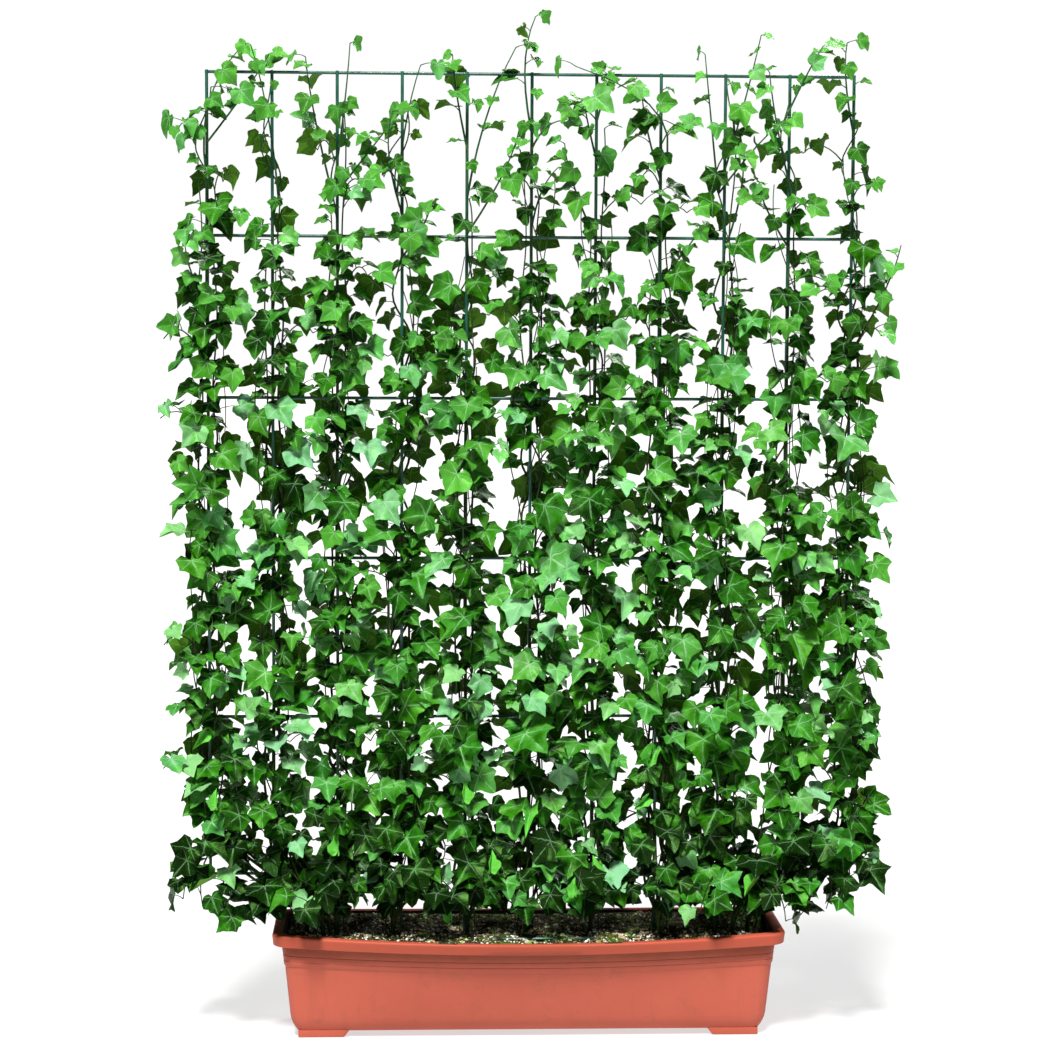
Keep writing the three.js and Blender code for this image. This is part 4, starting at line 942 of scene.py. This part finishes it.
def straighten_tip(tip, normal, stalk_way):
    """Turns the tip in the blade's plane, so that the stalk runs on into the midrib."""
    run = add(stalk_way, normal, -dot(stalk_way, normal))
    share = size_of(run)
    if share < 0.45:
        return tip
    run = unit(run)
    side = cross(run, normal)
    sideways = dot(tip, side)
    limit = min(1.0, kink_limit / share)
    if dot(tip, run) > 0 and abs(sideways) <= limit:
        return tip
    kept = math.copysign(min(limit, abs(sideways)), sideways or 1)
    forward = math.sqrt(1 - kept * kept)
    return tuple(side[k] * kept + run[k] * forward for k in range(3))


def pose_leaf(vine, foot, outward, size, stalk, keys):
    radial = (math.cos(outward), math.sin(outward), 0.0)
    rise = mix(-0.15, 0.3, abs(radial[1])) + 0.6 * draw(*keys, 51)
    reach = unit(add(radial, (0, 0, rise)))
    joint = add(foot, reach, stalk)
    facing = -1 if joint[1] < 3 else 1
    normal = unit((
        radial[0] * 0.4 + 1.4 * (draw(*keys, 52) - 0.5),
        radial[1] * 0.4 + facing * (0.25 + 0.8 * draw(*keys, 55)),
        0.15 + 2.3 * draw(*keys, 53) ** 2))
    tip = (radial[0] * 0.75 + 1.8 * (draw(*keys, 54) - 0.5), radial[1] * 0.75, -0.72)
    tip = unit(add(tip, normal, -dot(tip, normal)))
    tip = straighten_tip(tip, normal, reach)
    centre = add(joint, tip, 0.4 * size)
    return dict(vine=vine, foot=foot, joint=joint, normal=normal, tip=tip, size=size,
                centre=centre, reach=0.5 * size, keys=keys)


def leaf_blocked(leaf):
    """Whether the round field of a leaf cuts a wire, or reaches into the trough."""
    cx, cy, cz = leaf["centre"]
    nx, ny, nz = leaf["normal"]
    reach = leaf["reach"]
    for x in wire_xs:
        if abs(cx - x) > reach + 4 or abs(cy) > reach + 4:
            continue
        if abs(nz) < edge_on:
            if abs(nx * (x - cx) - ny * cy) < 4:
                return True
            continue
        dz = -(nx * (x - cx) + ny * (0 - cy)) / nz
        if size_of((x - cx, -cy, dz)) < reach + 5:
            return True
    for z in row_zs:
        back = row_setback - cy
        rise = z - cz
        if abs(rise) > reach + 4 or abs(back) > reach + 4:
            continue
        if abs(nx) < edge_on:
            if abs(nz * rise + ny * back) < 4:
                return True
            continue
        dx = -(ny * back + nz * rise) / nx
        if size_of((dx, back, rise)) < reach + 5:
            return True
    inner_y = cy * max(0.0, 1 - reach / max(1.0, abs(cy)))
    return not above_trough([(cx, cy, cz - reach), (cx, inner_y, cz - reach)], 4)


plant_low = (-578, -158, 0)
plant_high = (582, 165, 1590)


def leaves_box(leaf):
    """Whether a leaf's tip or one of its side lobes is further out than the plant reaches."""
    joint, tip, size = leaf["joint"], leaf["tip"], leaf["size"]
    across = cross(tip, leaf["normal"])
    lobe = add(joint, tip, 0.36 * size)
    for point in (add(joint, tip, 0.82 * size), add(lobe, across, 0.6 * size), add(lobe, across, -0.6 * size)):
        if any(not plant_low[k] < point[k] < plant_high[k] for k in range(3)):
            return True
    return False


def leaves_cross(a, b):
    """Whether the round fields of two leaves cut each other."""
    gap = add(b["centre"], a["centre"], -1)
    if size_of(gap) > a["reach"] + b["reach"]:
        return False
    line = cross(a["normal"], b["normal"])
    sine = size_of(line)
    if sine < 0.05:
        return abs(dot(gap, a["normal"])) < 2.5
    reach_a = a["reach"] ** 2 - (dot(gap, b["normal"]) / sine) ** 2
    reach_b = b["reach"] ** 2 - (dot(gap, a["normal"]) / sine) ** 2
    if reach_a < 0 or reach_b < 0:
        return False
    return abs(dot(gap, line)) / sine < math.sqrt(reach_a) + math.sqrt(reach_b)


def cell_of(point):
    return tuple(math.floor(value / cell_size) for value in point)


def crosses_any(leaf, cells):
    x, y, z = cell_of(leaf["centre"])
    for dx in (-1, 0, 1):
        for dy in (-1, 0, 1):
            for dz in (-1, 0, 1):
                for other in cells.get((x + dx, y + dy, z + dz), ()):
                    if leaves_cross(leaf, other):
                        return True
    return False


def place_leaf(vine, foot, outward, size, keys, leaves, cells):
    for n in range(leaf_tries):
        turned = outward + (0 if n == 0 else 1.5 * (draw(*keys, 60 + n) - 0.5))
        stalk = size * (0.3 + 0.5 * draw(*keys, 70 + n) ** 2) + 2.5 * n
        leaf = pose_leaf(vine, foot, turned, size, stalk, (*keys, n))
        if leaf_blocked(leaf) or leaves_box(leaf) or crosses_any(leaf, cells):
            continue
        cells.setdefault(cell_of(leaf["centre"]), []).append(leaf)
        leaves.append(leaf)
        return leaf
    return None


def leaf_size(z, keys):
    full = mix(46, 40, ease((z - 700) / 700))
    large = 1.3 if draw(*keys, 82) < 0.06 else 1
    return full * (0.64 + 0.56 * draw(*keys, 81)) * large


def spread_at(z):
    """How much further apart the leaves sit at a height: close below, loose near the top."""
    return mix(0.78, 0.86, ease((z - 450) / 500)) + 1.05 * ease((z - 1150) / 200)


def leaf_arc(vine, arc, leaves, cells):
    """The leaves of a twig or free shoot, from its tip back towards the strand."""
    free = arc["key"] >= free_key
    high = arc["at"](1)[2] > 300
    for i in range(arc["leaves"]):
        t = 1 - (i * 0.82) / arc["leaves"]
        keys = (vine, arc["key"], i)
        foot = arc["at"](t)
        before = arc["at"](t - 0.1)
        heading = math.atan2(foot[1] - before[1], foot[0] - before[0])
        side = 0 if i == 0 else (1 if i % 2 else -1) * (0.9 + 0.7 * draw(*keys, 83))
        young = mix(0.72 if free and high else 0.8 if not free else 1, 1, i / arc["leaves"])
        leaf = place_leaf(vine, foot, heading + side, leaf_size(foot[2], keys) * young, keys, leaves, cells)
        if leaf:
            leaf["youth"] = (1 - i / arc["leaves"]) * (1.0 if free and high else 0.6 * ease((foot[2] - 350) / 500))


leaves = []
cells = {}
for plant in vines:
    for arc in plant["arcs"]:
        leaf_arc(plant["vine"], arc, leaves, cells)
for plant in vines:
    for strand in plant["strands"]:
        vine, number = plant["vine"], strand["number"]
        n = 0
        z = strand["top"]
        while z > lowest_leaf:
            keys = (vine, number, n)
            foot = strand["at"](z)
            out = math.atan2(foot[1], foot[0] - wire_xs[vine])
            swing = leaf_swings[n % len(leaf_swings)] + 0.5 * (draw(*keys, 85) - 0.5)
            tipness = ease((strand["top"] - z) / 160)
            size = leaf_size(z, keys) * mix(0.6, 1, tipness)
            leaf = place_leaf(vine, foot, out + swing, size, keys, leaves, cells)
            if leaf:
                leaf["youth"] = 0.7 * (1 - tipness)
            z -= strand_spacings[number] * spread_at(z) * (0.7 + 0.6 * draw(*keys, 84))
            n += 1


def back_arcs(vine, strands):
    """Short twigs low down that lean back over the soil, into the shade of the plant."""
    arcs = []
    for i in range(back_twigs):
        start = strands[i + 1]["at"](186 + 30 * draw(vine, i, 56))
        tip = (start[0] + mix(-50, 50, draw(vine, i, 57)), mix(60, 112, draw(vine, i, 58)),
               mix(200, 236, draw(vine, i, 59)))
        pull = [mix(start[k], tip[k], 0.5) for k in range(3)]
        pull[2] += 20
        arc = make_arc(vine, start, pull, tip, 1.3, 4, back_key + i)
        if clear_of_wires([arc["at"](t) for t in (0.25, 0.5, 0.75, 1)], 3):
            arcs.append(arc)
    return arcs


for plant in vines:
    extra = back_arcs(plant["vine"], plant["strands"])
    for arc in extra:
        leaf_arc(plant["vine"], arc, leaves, cells)
    plant["arcs"] += extra



def bud_on(plant, number, x, z):
    """A just opened leaf on a twig of its own, in front of the others, its tip upwards."""
    vine = plant["vine"]
    host = plant["strands"][1 + number % 2]
    start = host["at"](max(host["low"] + 12, z - bud_drop))
    side = 1 if number % 2 else -1
    normal = unit((0.35 * side, -1.0, 0.15))
    upward = (0.16 * side, 0.0, 1.0)
    upward = unit(add(upward, normal, -dot(upward, normal)))
    for step in range(bud_tries):
        tip = (x, bud_front - 7 * step, z)
        joint = add(tip, (0, -2, 5))
        keys = (vine, bud_key + number, step)
        size = bud_size * (0.85 + 0.3 * draw(*keys, 102))
        leaf = dict(vine=vine, foot=tip, joint=joint, normal=normal, tip=upward, size=size,
                    centre=add(joint, upward, 0.4 * size), reach=0.42 * size, keys=keys, youth=2.0)
        if crosses_any(leaf, cells):
            continue
        cells.setdefault(cell_of(leaf["centre"]), []).append(leaf)
        leaves.append(leaf)
        pull = [mix(start[k], tip[k], 0.6) for k in range(3)]
        pull[2] += 14
        plant["arcs"].append(make_arc(vine, start, pull, tip, 1.2, 1, bud_key + number))
        return


bud_key = 850
bud_size = 34
bud_front = -48
bud_drop = 36
bud_tries = 12
buds = ((-485, 362), (-103, 372), (-299, 288), (-62, 262), (69, 226), (100, 248), (-123, 178))
for number, (x, z) in enumerate(buds):
    nearest = min(vines, key=lambda plant: abs(wire_xs[plant["vine"]] - x))
    bud_on(nearest, number, x, z)

# The stems as meshes: a round tube along every strand, twig, free shoot and leaf stalk. The
# strands are woody and brown green, the stalks are pale green.
stem_step = 12.0
arc_steps = 7


runner_count = 3
runner_girth = 1.25


def runner(vine, number):
    """The course of a slack, thin side stem that wanders beside its wire, and its radii."""
    phase = 6.3 * draw(vine, number, 111)
    reach = 15 + 17 * draw(vine, number, 112)
    foot = crown_of(vine)
    top = 900 + 480 * draw(vine, number, 113)
    steps = math.ceil((top - strand_foot) / (1.6 * stem_step))
    points = []
    for i in range(steps + 1):
        z = mix(strand_foot - 3, top, i / steps)
        t = ease((z - strand_foot) / 190)
        x = mix(foot[0] + 12 * (number - 1), wire_xs[vine], t)
        x += t * (reach * math.sin(z / 118 + phase) + 7 * math.sin(z / 41 + 2 * phase))
        y = mix(foot[1] - 6, -14 - 6 * math.sin(z / 83 + phase), t)
        points.append((x, y, z))
    return points, [mix(runner_girth, 0.8, i / steps) for i in range(steps + 1)]


def add_tube(curve, points, radii, material_index):
    spline = curve.splines.new("POLY")
    spline.points.add(len(points) - 1)
    for point, at, radius in zip(spline.points, points, radii):
        point.co = (at[0] * MM, at[1] * MM, at[2] * MM, 1.0)
        point.radius = radius
    spline.material_index = material_index
    spline.use_smooth = True


def stem_curve(plant):
    curve = bpy.data.curves.new("stems", "CURVE")
    curve.dimensions = "3D"
    curve.bevel_depth = MM
    curve.bevel_resolution = 1
    curve.use_fill_caps = True
    for strand in plant["strands"]:
        steps = math.ceil((strand["top"] - strand["low"]) / stem_step)
        heights = [mix(strand["low"], strand["top"], i / steps) for i in range(steps + 1)]
        add_tube(curve, [strand["at"](z) for z in heights], [strand["girth"](z) for z in heights], 0)
    for arc in plant["arcs"]:
        shares = [i / arc_steps for i in range(arc_steps + 1)]
        add_tube(curve, [arc["at"](t) for t in shares], [mix(arc["thick"], 0.85, t) for t in shares], 0)
    for number in range(runner_count):
        add_tube(curve, *runner(plant["vine"], number), 0)
    for leaf in leaves:
        if leaf["vine"] == plant["vine"]:
            foot, joint = leaf["foot"], leaf["joint"]
            sag = 0.09 * size_of(add(joint, foot, -1))
            points = []
            for i in range(4):
                t = i / 3
                arch = math.sin(math.pi * t) * sag
                points.append(add([mix(foot[k], joint[k], t) for k in range(3)], (0, 0, arch)))
            add_tube(curve, points, (0.95, 0.7, 0.62, 0.55), 1)
    return curve


def mesh_of_curve(curve, name):
    carrier = bpy.data.objects.new(name, curve)
    bpy.context.scene.collection.objects.link(carrier)
    bpy.context.view_layer.update()
    shaped = carrier.evaluated_get(bpy.context.evaluated_depsgraph_get())
    mesh = bpy.data.meshes.new_from_object(shaped)
    mesh.name = name
    bpy.data.objects.remove(carrier)
    bpy.data.curves.remove(curve)
    return mesh


woody = new_material("woody_ivy_stem", (0.05, 0.05, 0.02), 0.7)
tree = woody.node_tree
shader = tree.nodes["Principled BSDF"]
shader.inputs["Specular IOR Level"].default_value = 0.1
grain = noise_field(tree, 90.0, 4.0, 0.6, (1.0, 1.0, 0.35))
old_bark = ramp(tree, grain, (0.3, (0.005, 0.013, 0.002)), (0.5, (0.014, 0.034, 0.006)),
                (0.7, (0.05, 0.075, 0.014)))
young_bark = ramp(tree, grain, (0.3, (0.008, 0.05, 0.018)), (0.5, (0.022, 0.11, 0.04)),
                  (0.7, (0.09, 0.19, 0.06)))
place = node(tree, "ShaderNodeTexCoord").outputs["Object"]
height = node(tree, "ShaderNodeSeparateXYZ")
link(tree, place, height.inputs["Vector"])
young = calc(tree, "MULTIPLY_ADD", height.outputs["Z"], 2.2, -2.4, clamp=True)
link(tree, blend_colour(tree, young, old_bark, young_bark), shader.inputs["Base Color"])
link(tree, bump(tree, noise_field(tree, 900.0, 4.0, 0.6, (1.0, 1.0, 0.3)), 0.0003, 0.8), shader.inputs["Normal"])
stalk_green = new_material("pale_leaf_stalk", (0.22, 0.3, 0.08), 0.5)
tree = stalk_green.node_tree
shader = tree.nodes["Principled BSDF"]
link(tree, ramp(tree, noise_field(tree, 30.0, 3.0), (0.35, (0.03, 0.09, 0.02)), (0.5, (0.09, 0.2, 0.05)),
                (0.66, (0.26, 0.28, 0.11))), shader.inputs["Base Color"])
link(tree, bump(tree, noise_field(tree, 1500.0, 2.0), 0.0001, 0.6), shader.inputs["Normal"])

# The blades. A blade is a disc of spokes drawn out to the lobed outline: one spoke for each
# vein that runs to a lobe's tip, and more between them. Each leaf gets its own depth of
# lobes, fold, droop and curl, so that no two are alike.
web = (0, 0, 0.015, 0.035, 0.015, 0, 0.015, 0.035, 0.015, 0, 0, 0, 0)
spokes = 24
ring_share = 0.5
blade_thickness = 0.45
five_lobed = (
    (0, 0.81, -0.05), (10, 0.68, -0.01), (21, 0.57, 0.02), (31, 0.515, 0.03), (44, 0.565, 0.01),
    (57, 0.67, -0.04), (70, 0.53, 0.01), (84, 0.45, 0.025), (97, 0.455, 0.01), (111, 0.505, -0.03),
    (130, 0.35, 0.01), (153, 0.215, 0.03), (180, 0.045, 0.0))
three_lobed = (
    (0, 0.81, -0.05), (11, 0.68, -0.01), (24, 0.555, 0.02), (34, 0.51, 0.03), (48, 0.54, 0.01),
    (62, 0.595, -0.04), (76, 0.48, 0.0), (88, 0.42, 0.02), (100, 0.39, 0.01), (113, 0.38, -0.01),
    (131, 0.29, 0.01), (154, 0.195, 0.02), (180, 0.05, 0.0))


def blade_disc():
    """A disc of spokes and rings, its middle at the stalk, as a template for every blade."""
    bm = bmesh.new()
    bmesh.ops.create_circle(bm, cap_ends=True, cap_tris=True, segments=spokes, radius=ring_share)
    ring = [v for v in bm.verts if v.co.length > 0.1]
    ring.sort(key=lambda v: math.atan2(v.co.y, v.co.x))
    raise_ring(bm, ring, [v.co.normalized() for v in ring])
    bmesh.ops.recalc_face_normals(bm, faces=bm.faces)
    if sum(face.normal.z for face in bm.faces) < 0:
        bmesh.ops.reverse_faces(bm, faces=bm.faces)
    for edge in bm.edges:
        edge.smooth = not edge.is_boundary
    mesh = bpy.data.meshes.new("blade_disc")
    bm.to_mesh(mesh)
    bm.free()
    return mesh


disc = blade_disc()
fan = []
for vert in disc.vertices:
    share = math.hypot(vert.co.x, vert.co.y)
    angle = math.atan2(vert.co.x, vert.co.y)
    fan.append((share, round(angle / (2 * math.pi) * spokes)))


# Painted shade in tiers along each wire: how far out along the blade its place is taken, how tall a tier is, and
# how dark it gets.
tier_reach = 12
tier_height = 38
tier_shade = 0.15
fresh_share = 0.016
fresh_below = 900
fresh_fold = 1.0
fresh_width = 0.5
least_fit = 0.86


def is_fresh(leaf):
    """A few leaves low down have only just opened: lime green and still folded."""
    if leaf["keys"][1] >= bud_key and leaf["keys"][1] < free_key:
        return True
    return leaf["joint"][2] < fresh_below and draw(*leaf["keys"], 103) < fresh_share


def inside_frame(points):
    return all(cad_low[k] <= point[k] * MM <= cad_high[k] for point in points for k in range(3))


def fitted_blade(leaf):
    """A blade's corners; one that would reach out of the frame's box is a little smaller."""
    size = leaf["size"]
    points, flat = blade_points(leaf, size)
    while not inside_frame(points) and size > least_fit * leaf["size"]:
        size *= 0.95
        points, flat = blade_points(leaf, size)
    for point in points:
        for k in range(3):
            point[k] = min(max(point[k], cad_low[k] / MM), cad_high[k] / MM)
    return points, flat


def blade_points(leaf, size):
    """The corners of one blade in space, and the same corners laid flat."""
    keys = leaf["keys"]
    lobed = min(1.0, max(0.0, (leaf["size"] - 34) / 26 + 0.5 * (draw(*keys, 91) - 0.5)))
    fold = fresh_fold if is_fresh(leaf) else 0.08 + 0.36 * draw(*keys, 92)
    droop = 0.04 + 0.26 * draw(*keys, 93)
    sweep = 0.20 * (draw(*keys, 94) - 0.5)
    wave = 0.03 + 0.06 * draw(*keys, 95)
    phase = 6.3 * draw(*keys, 96)
    webbed = 1.4 * draw(*keys, 101) - 0.4
    across = Vector(cross(leaf["tip"], leaf["normal"]))
    tip = Vector(leaf["tip"])
    normal = Vector(leaf["normal"])
    joint = Vector(leaf["joint"])
    points = []
    flat = []
    for share, k in fan:
        angle, radius, lift = [mix(a, b, lobed) for a, b in zip(three_lobed[abs(k)], five_lobed[abs(k)])]
        radius += web[abs(k)] * webbed
        radius *= 1 + 0.14 * (draw(*keys, 97, k + 30) - 0.5)
        way = math.radians(angle)
        side = -1 if k < 0 else 1
        u = side * share * radius * math.sin(way)
        v = share * radius * math.cos(way)
        rise = fold * abs(u) - droop * v * v + lift * share * share
        rise += wave * share * share * math.sin(5 * side * way + phase)
        bent = u * (fresh_width if is_fresh(leaf) else 1.0) + sweep * v * v
        points.append(joint + across * (bent * size) + tip * (v * size) + normal * (rise * size))
        flat.append((u, v))
    return points, flat


def blades_bm(vine):
    bm = bmesh.new()
    uv_layer = bm.loops.layers.uv.new("blade")
    tone_and_shade_layer = bm.verts.layers.float.new("tone_and_shade")
    youth_layer = bm.verts.layers.float.new("youth")
    hue_layer = bm.verts.layers.float.new("hue")
    for leaf in leaves:
        if leaf["vine"] != vine:
            continue
        points, flat = fitted_blade(leaf)
        start = len(bm.verts)
        bm.from_mesh(disc)
        bm.verts.ensure_lookup_table()
        bm.verts.index_update()
        fresh = bm.verts[start:]
        tone_and_shade = draw(*leaf["keys"], 98)
        # Painted shade: the leaves low down are darkened, most of all near the soil, for the shade of the foliage
        # above them.
        tone_and_shade = mix(1.2 * tone_and_shade ** 4 - 0.2, tone_and_shade, ease((leaf["joint"][2] - 232) / 235))
        tone_and_shade *= mix(1.15, 0.86, ease((leaf["joint"][2] - 900) / 300))
        # Painted shade: leaves whose stalks start close to the wire are darkened, for the shade deep inside the
        # plant.
        depth = math.hypot(leaf["joint"][0] - wire_xs[vine], leaf["joint"][1])
        tone_and_shade *= mix(0.3, 1.0, ease((depth - 16) / 30))
        # Painted shade: leaves that hang over the wire's line are darkened in patchy tiers up its length, for the
        # shaded leaves under each lit cluster.
        aside = abs(leaf["joint"][0] + tier_reach * leaf["tip"][0] - wire_xs[vine])
        tier = noise.noise(Vector((vine * 7.3, 0.0, leaf["joint"][2] / tier_height)))
        tone_and_shade *= mix(1.0, tier_shade, (1 - ease((aside - 8) / 16)) * ease(2.5 * tier + 0.5))
        hue = draw(*leaf["keys"], 100)
        # Painted shade: the leaves of the low back twigs are darkened for the shade behind the plant.
        if leaf["keys"][1] in range(back_key, bud_key):
            tone_and_shade *= 0.2
        youth = leaf["youth"] * (0.6 + 0.8 * draw(*leaf["keys"], 99))
        if is_fresh(leaf):
            youth = 2.0
        for vert, point in zip(fresh, points):
            vert.co = point
            vert[tone_and_shade_layer] = tone_and_shade
            vert[youth_layer] = youth
            vert[hue_layer] = hue
        for face in {f for v in fresh for f in v.link_faces}:
            for loop in face.loops:
                loop[uv_layer].uv = flat[loop.vert.index - start]
    return bm


def leaf_material(name, upper):
    """Waxy upper side with pale sunken veins and painted sheen, or the paler, duller underside."""
    material = new_material(name, (0.05, 0.2, 0.05), 0.34 if upper else 0.6)
    tree = material.node_tree
    shader = tree.nodes["Principled BSDF"]
    shader.inputs["Specular IOR Level"].default_value = 0.3 if upper else 0.05
    shader.inputs["Specular Tint"].default_value = (0.4, 1.0, 0.2, 1.0)
    # Each leaf's own tone, darkened by the painted shade set in blades_bm.
    tone_and_shade = node(tree, "ShaderNodeAttribute", attribute_name="tone_and_shade").outputs["Fac"]
    youth = node(tree, "ShaderNodeAttribute", attribute_name="youth").outputs["Fac"]
    flat = node(tree, "ShaderNodeUVMap", uv_map="blade").outputs["UV"]
    parts = node(tree, "ShaderNodeSeparateXYZ")
    link(tree, flat, parts.inputs["Vector"])
    waver = calc(tree, "MULTIPLY_ADD", noise_field(tree, 60.0, 2.0), 0.12, -0.06)
    u = calc(tree, "ADD", calc(tree, "ABSOLUTE", parts.outputs["X"]), waver)
    v = calc(tree, "SUBTRACT", parts.outputs["Y"], waver)
    veins = None
    twigs = None
    halo = None
    for angle, reach in ((0, 0.9), (57, 0.58), (111, 0.38)):
        sine, cosine = math.sin(math.radians(angle)), math.cos(math.radians(angle))
        along = calc(tree, "ADD", calc(tree, "MULTIPLY", u, sine), calc(tree, "MULTIPLY", v, cosine))
        off = calc(tree, "ABSOLUTE", calc(tree, "SUBTRACT", calc(tree, "MULTIPLY", u, cosine),
                                          calc(tree, "MULTIPLY", v, sine)))
        width = calc(tree, "MULTIPLY_ADD", along, -0.014 / reach, 0.0225)
        line = calc(tree, "SUBTRACT", 1.0, calc(tree, "DIVIDE", off, width), clamp=True)
        line = calc(tree, "MULTIPLY", line, 1.6, clamp=True)
        line = calc(tree, "MULTIPLY", line, calc(tree, "GREATER_THAN", along, 0.0))
        veins = line if veins is None else calc(tree, "MAXIMUM", veins, line)
        glow = calc(tree, "SUBTRACT", 1.0, calc(tree, "DIVIDE", off, 0.06), clamp=True)
        glow = calc(tree, "MULTIPLY", glow, calc(tree, "GREATER_THAN", along, 0.0))
        halo = glow if halo is None else calc(tree, "MAXIMUM", halo, glow)
        slant = calc(tree, "MULTIPLY_ADD", off, -1.1, along)
        comb = calc(tree, "PINGPONG", slant, 0.055)
        fine = calc(tree, "SUBTRACT", 1.0, calc(tree, "DIVIDE", comb, 0.007), clamp=True)
        near = calc(tree, "SUBTRACT", 1.0, calc(tree, "DIVIDE", off, 0.2), clamp=True)
        fine = calc(tree, "MULTIPLY", fine, calc(tree, "MULTIPLY", near, calc(tree, "GREATER_THAN", along, 0.02)))
        twigs = fine if twigs is None else calc(tree, "MAXIMUM", twigs, fine)
    hue = node(tree, "ShaderNodeAttribute", attribute_name="hue").outputs["Fac"]
    mottle = noise_field(tree, 150.0, 6.0, 0.68)
    # Painted sheen: a broad noise lightens some patches of the upper side and darkens others, for gloss
    # highlights.
    painted_sheen = calc(tree, "MULTIPLY_ADD", noise_field(tree, 42.0, 2.0), 0.9, -0.45)
    if upper:
        level = calc(tree, "MULTIPLY_ADD", mottle, 0.42, calc(tree, "MULTIPLY_ADD", tone_and_shade, 0.8, -0.06))
        level = calc(tree, "ADD", calc(tree, "MULTIPLY_ADD", halo, 0.12, level), painted_sheen)
        # The palest stops of these ramps stand partly for pale leaves and partly for painted highlights.
        cool = ramp(tree, level, (0.12, (0.001, 0.011, 0.0001)), (0.40, (0.018, 0.153, 0.004)),
                    (0.72, (0.068, 0.292, 0.070)), (1.0, (0.20, 0.47, 0.25)))
        warm = ramp(tree, level, (0.12, (0.002, 0.013, 0.0001)), (0.40, (0.024, 0.157, 0.001)),
                    (0.72, (0.074, 0.282, 0.026)), (1.0, (0.20, 0.46, 0.16)))
        shade = blend_colour(tree, hue, cool, warm)
        shade = blend_colour(tree, calc(tree, "MULTIPLY", youth, 0.5, clamp=True), shade, (0.13, 0.52, 0.06))
        vein_tint = (0.32, 0.58, 0.31)
        share = calc(tree, "MAXIMUM", calc(tree, "MULTIPLY", veins, 0.7), calc(tree, "MULTIPLY", twigs, 0.42))
        share = calc(tree, "MULTIPLY", share, calc(tree, "MULTIPLY_ADD", tone_and_shade, 0.5, 0.5))
    else:
        level = calc(tree, "MULTIPLY_ADD", mottle, 0.3, calc(tree, "MULTIPLY", tone_and_shade, 0.7))
        shade = ramp(tree, level, (0.2, (0.020, 0.075, 0.003)), (0.8, (0.065, 0.18, 0.014)))
        shade = blend_colour(tree, calc(tree, "MULTIPLY", youth, 0.5, clamp=True), shade, (0.16, 0.38, 0.04))
        vein_tint = (0.16, 0.30, 0.08)
        share = calc(tree, "MULTIPLY", veins, 0.6)
    link(tree, blend_colour(tree, share, shade, vein_tint), shader.inputs["Base Color"])
    relief = calc(tree, "MULTIPLY_ADD", twigs, -0.4, calc(tree, "MULTIPLY_ADD", veins, -1.0, mottle))
    link(tree, bump(tree, relief, 0.0008 if upper else -0.0006, 0.8), shader.inputs["Normal"])
    return material


leaf_upper = leaf_material("ivy_leaf_upper", True)
leaf_under = leaf_material("ivy_leaf_under", False)
for plant in vines:
    vine = plant["vine"]
    stems = mesh_of_curve(stem_curve(plant), f"ivy_{vine + 1}_stems")
    stems.materials.clear()
    stems.materials.append(woody)
    stems.materials.append(stalk_green)
    piece = bpy.data.objects.new(stems.name, stems)
    bpy.context.scene.collection.objects.link(piece)
    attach(piece, "root")
    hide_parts(f"ivy_{vine + 1}")
    blades = finish_piece(blades_bm(vine), f"ivy_{vine + 1}_blades",
                          [leaf_upper, leaf_under], [f"ivy_{vine + 1}"])
    thicken = blades.modifiers.new("thickness", "SOLIDIFY")
    thicken.thickness = blade_thickness * MM
    thicken.offset = -1.0
    thicken.material_offset = 1

low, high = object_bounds()
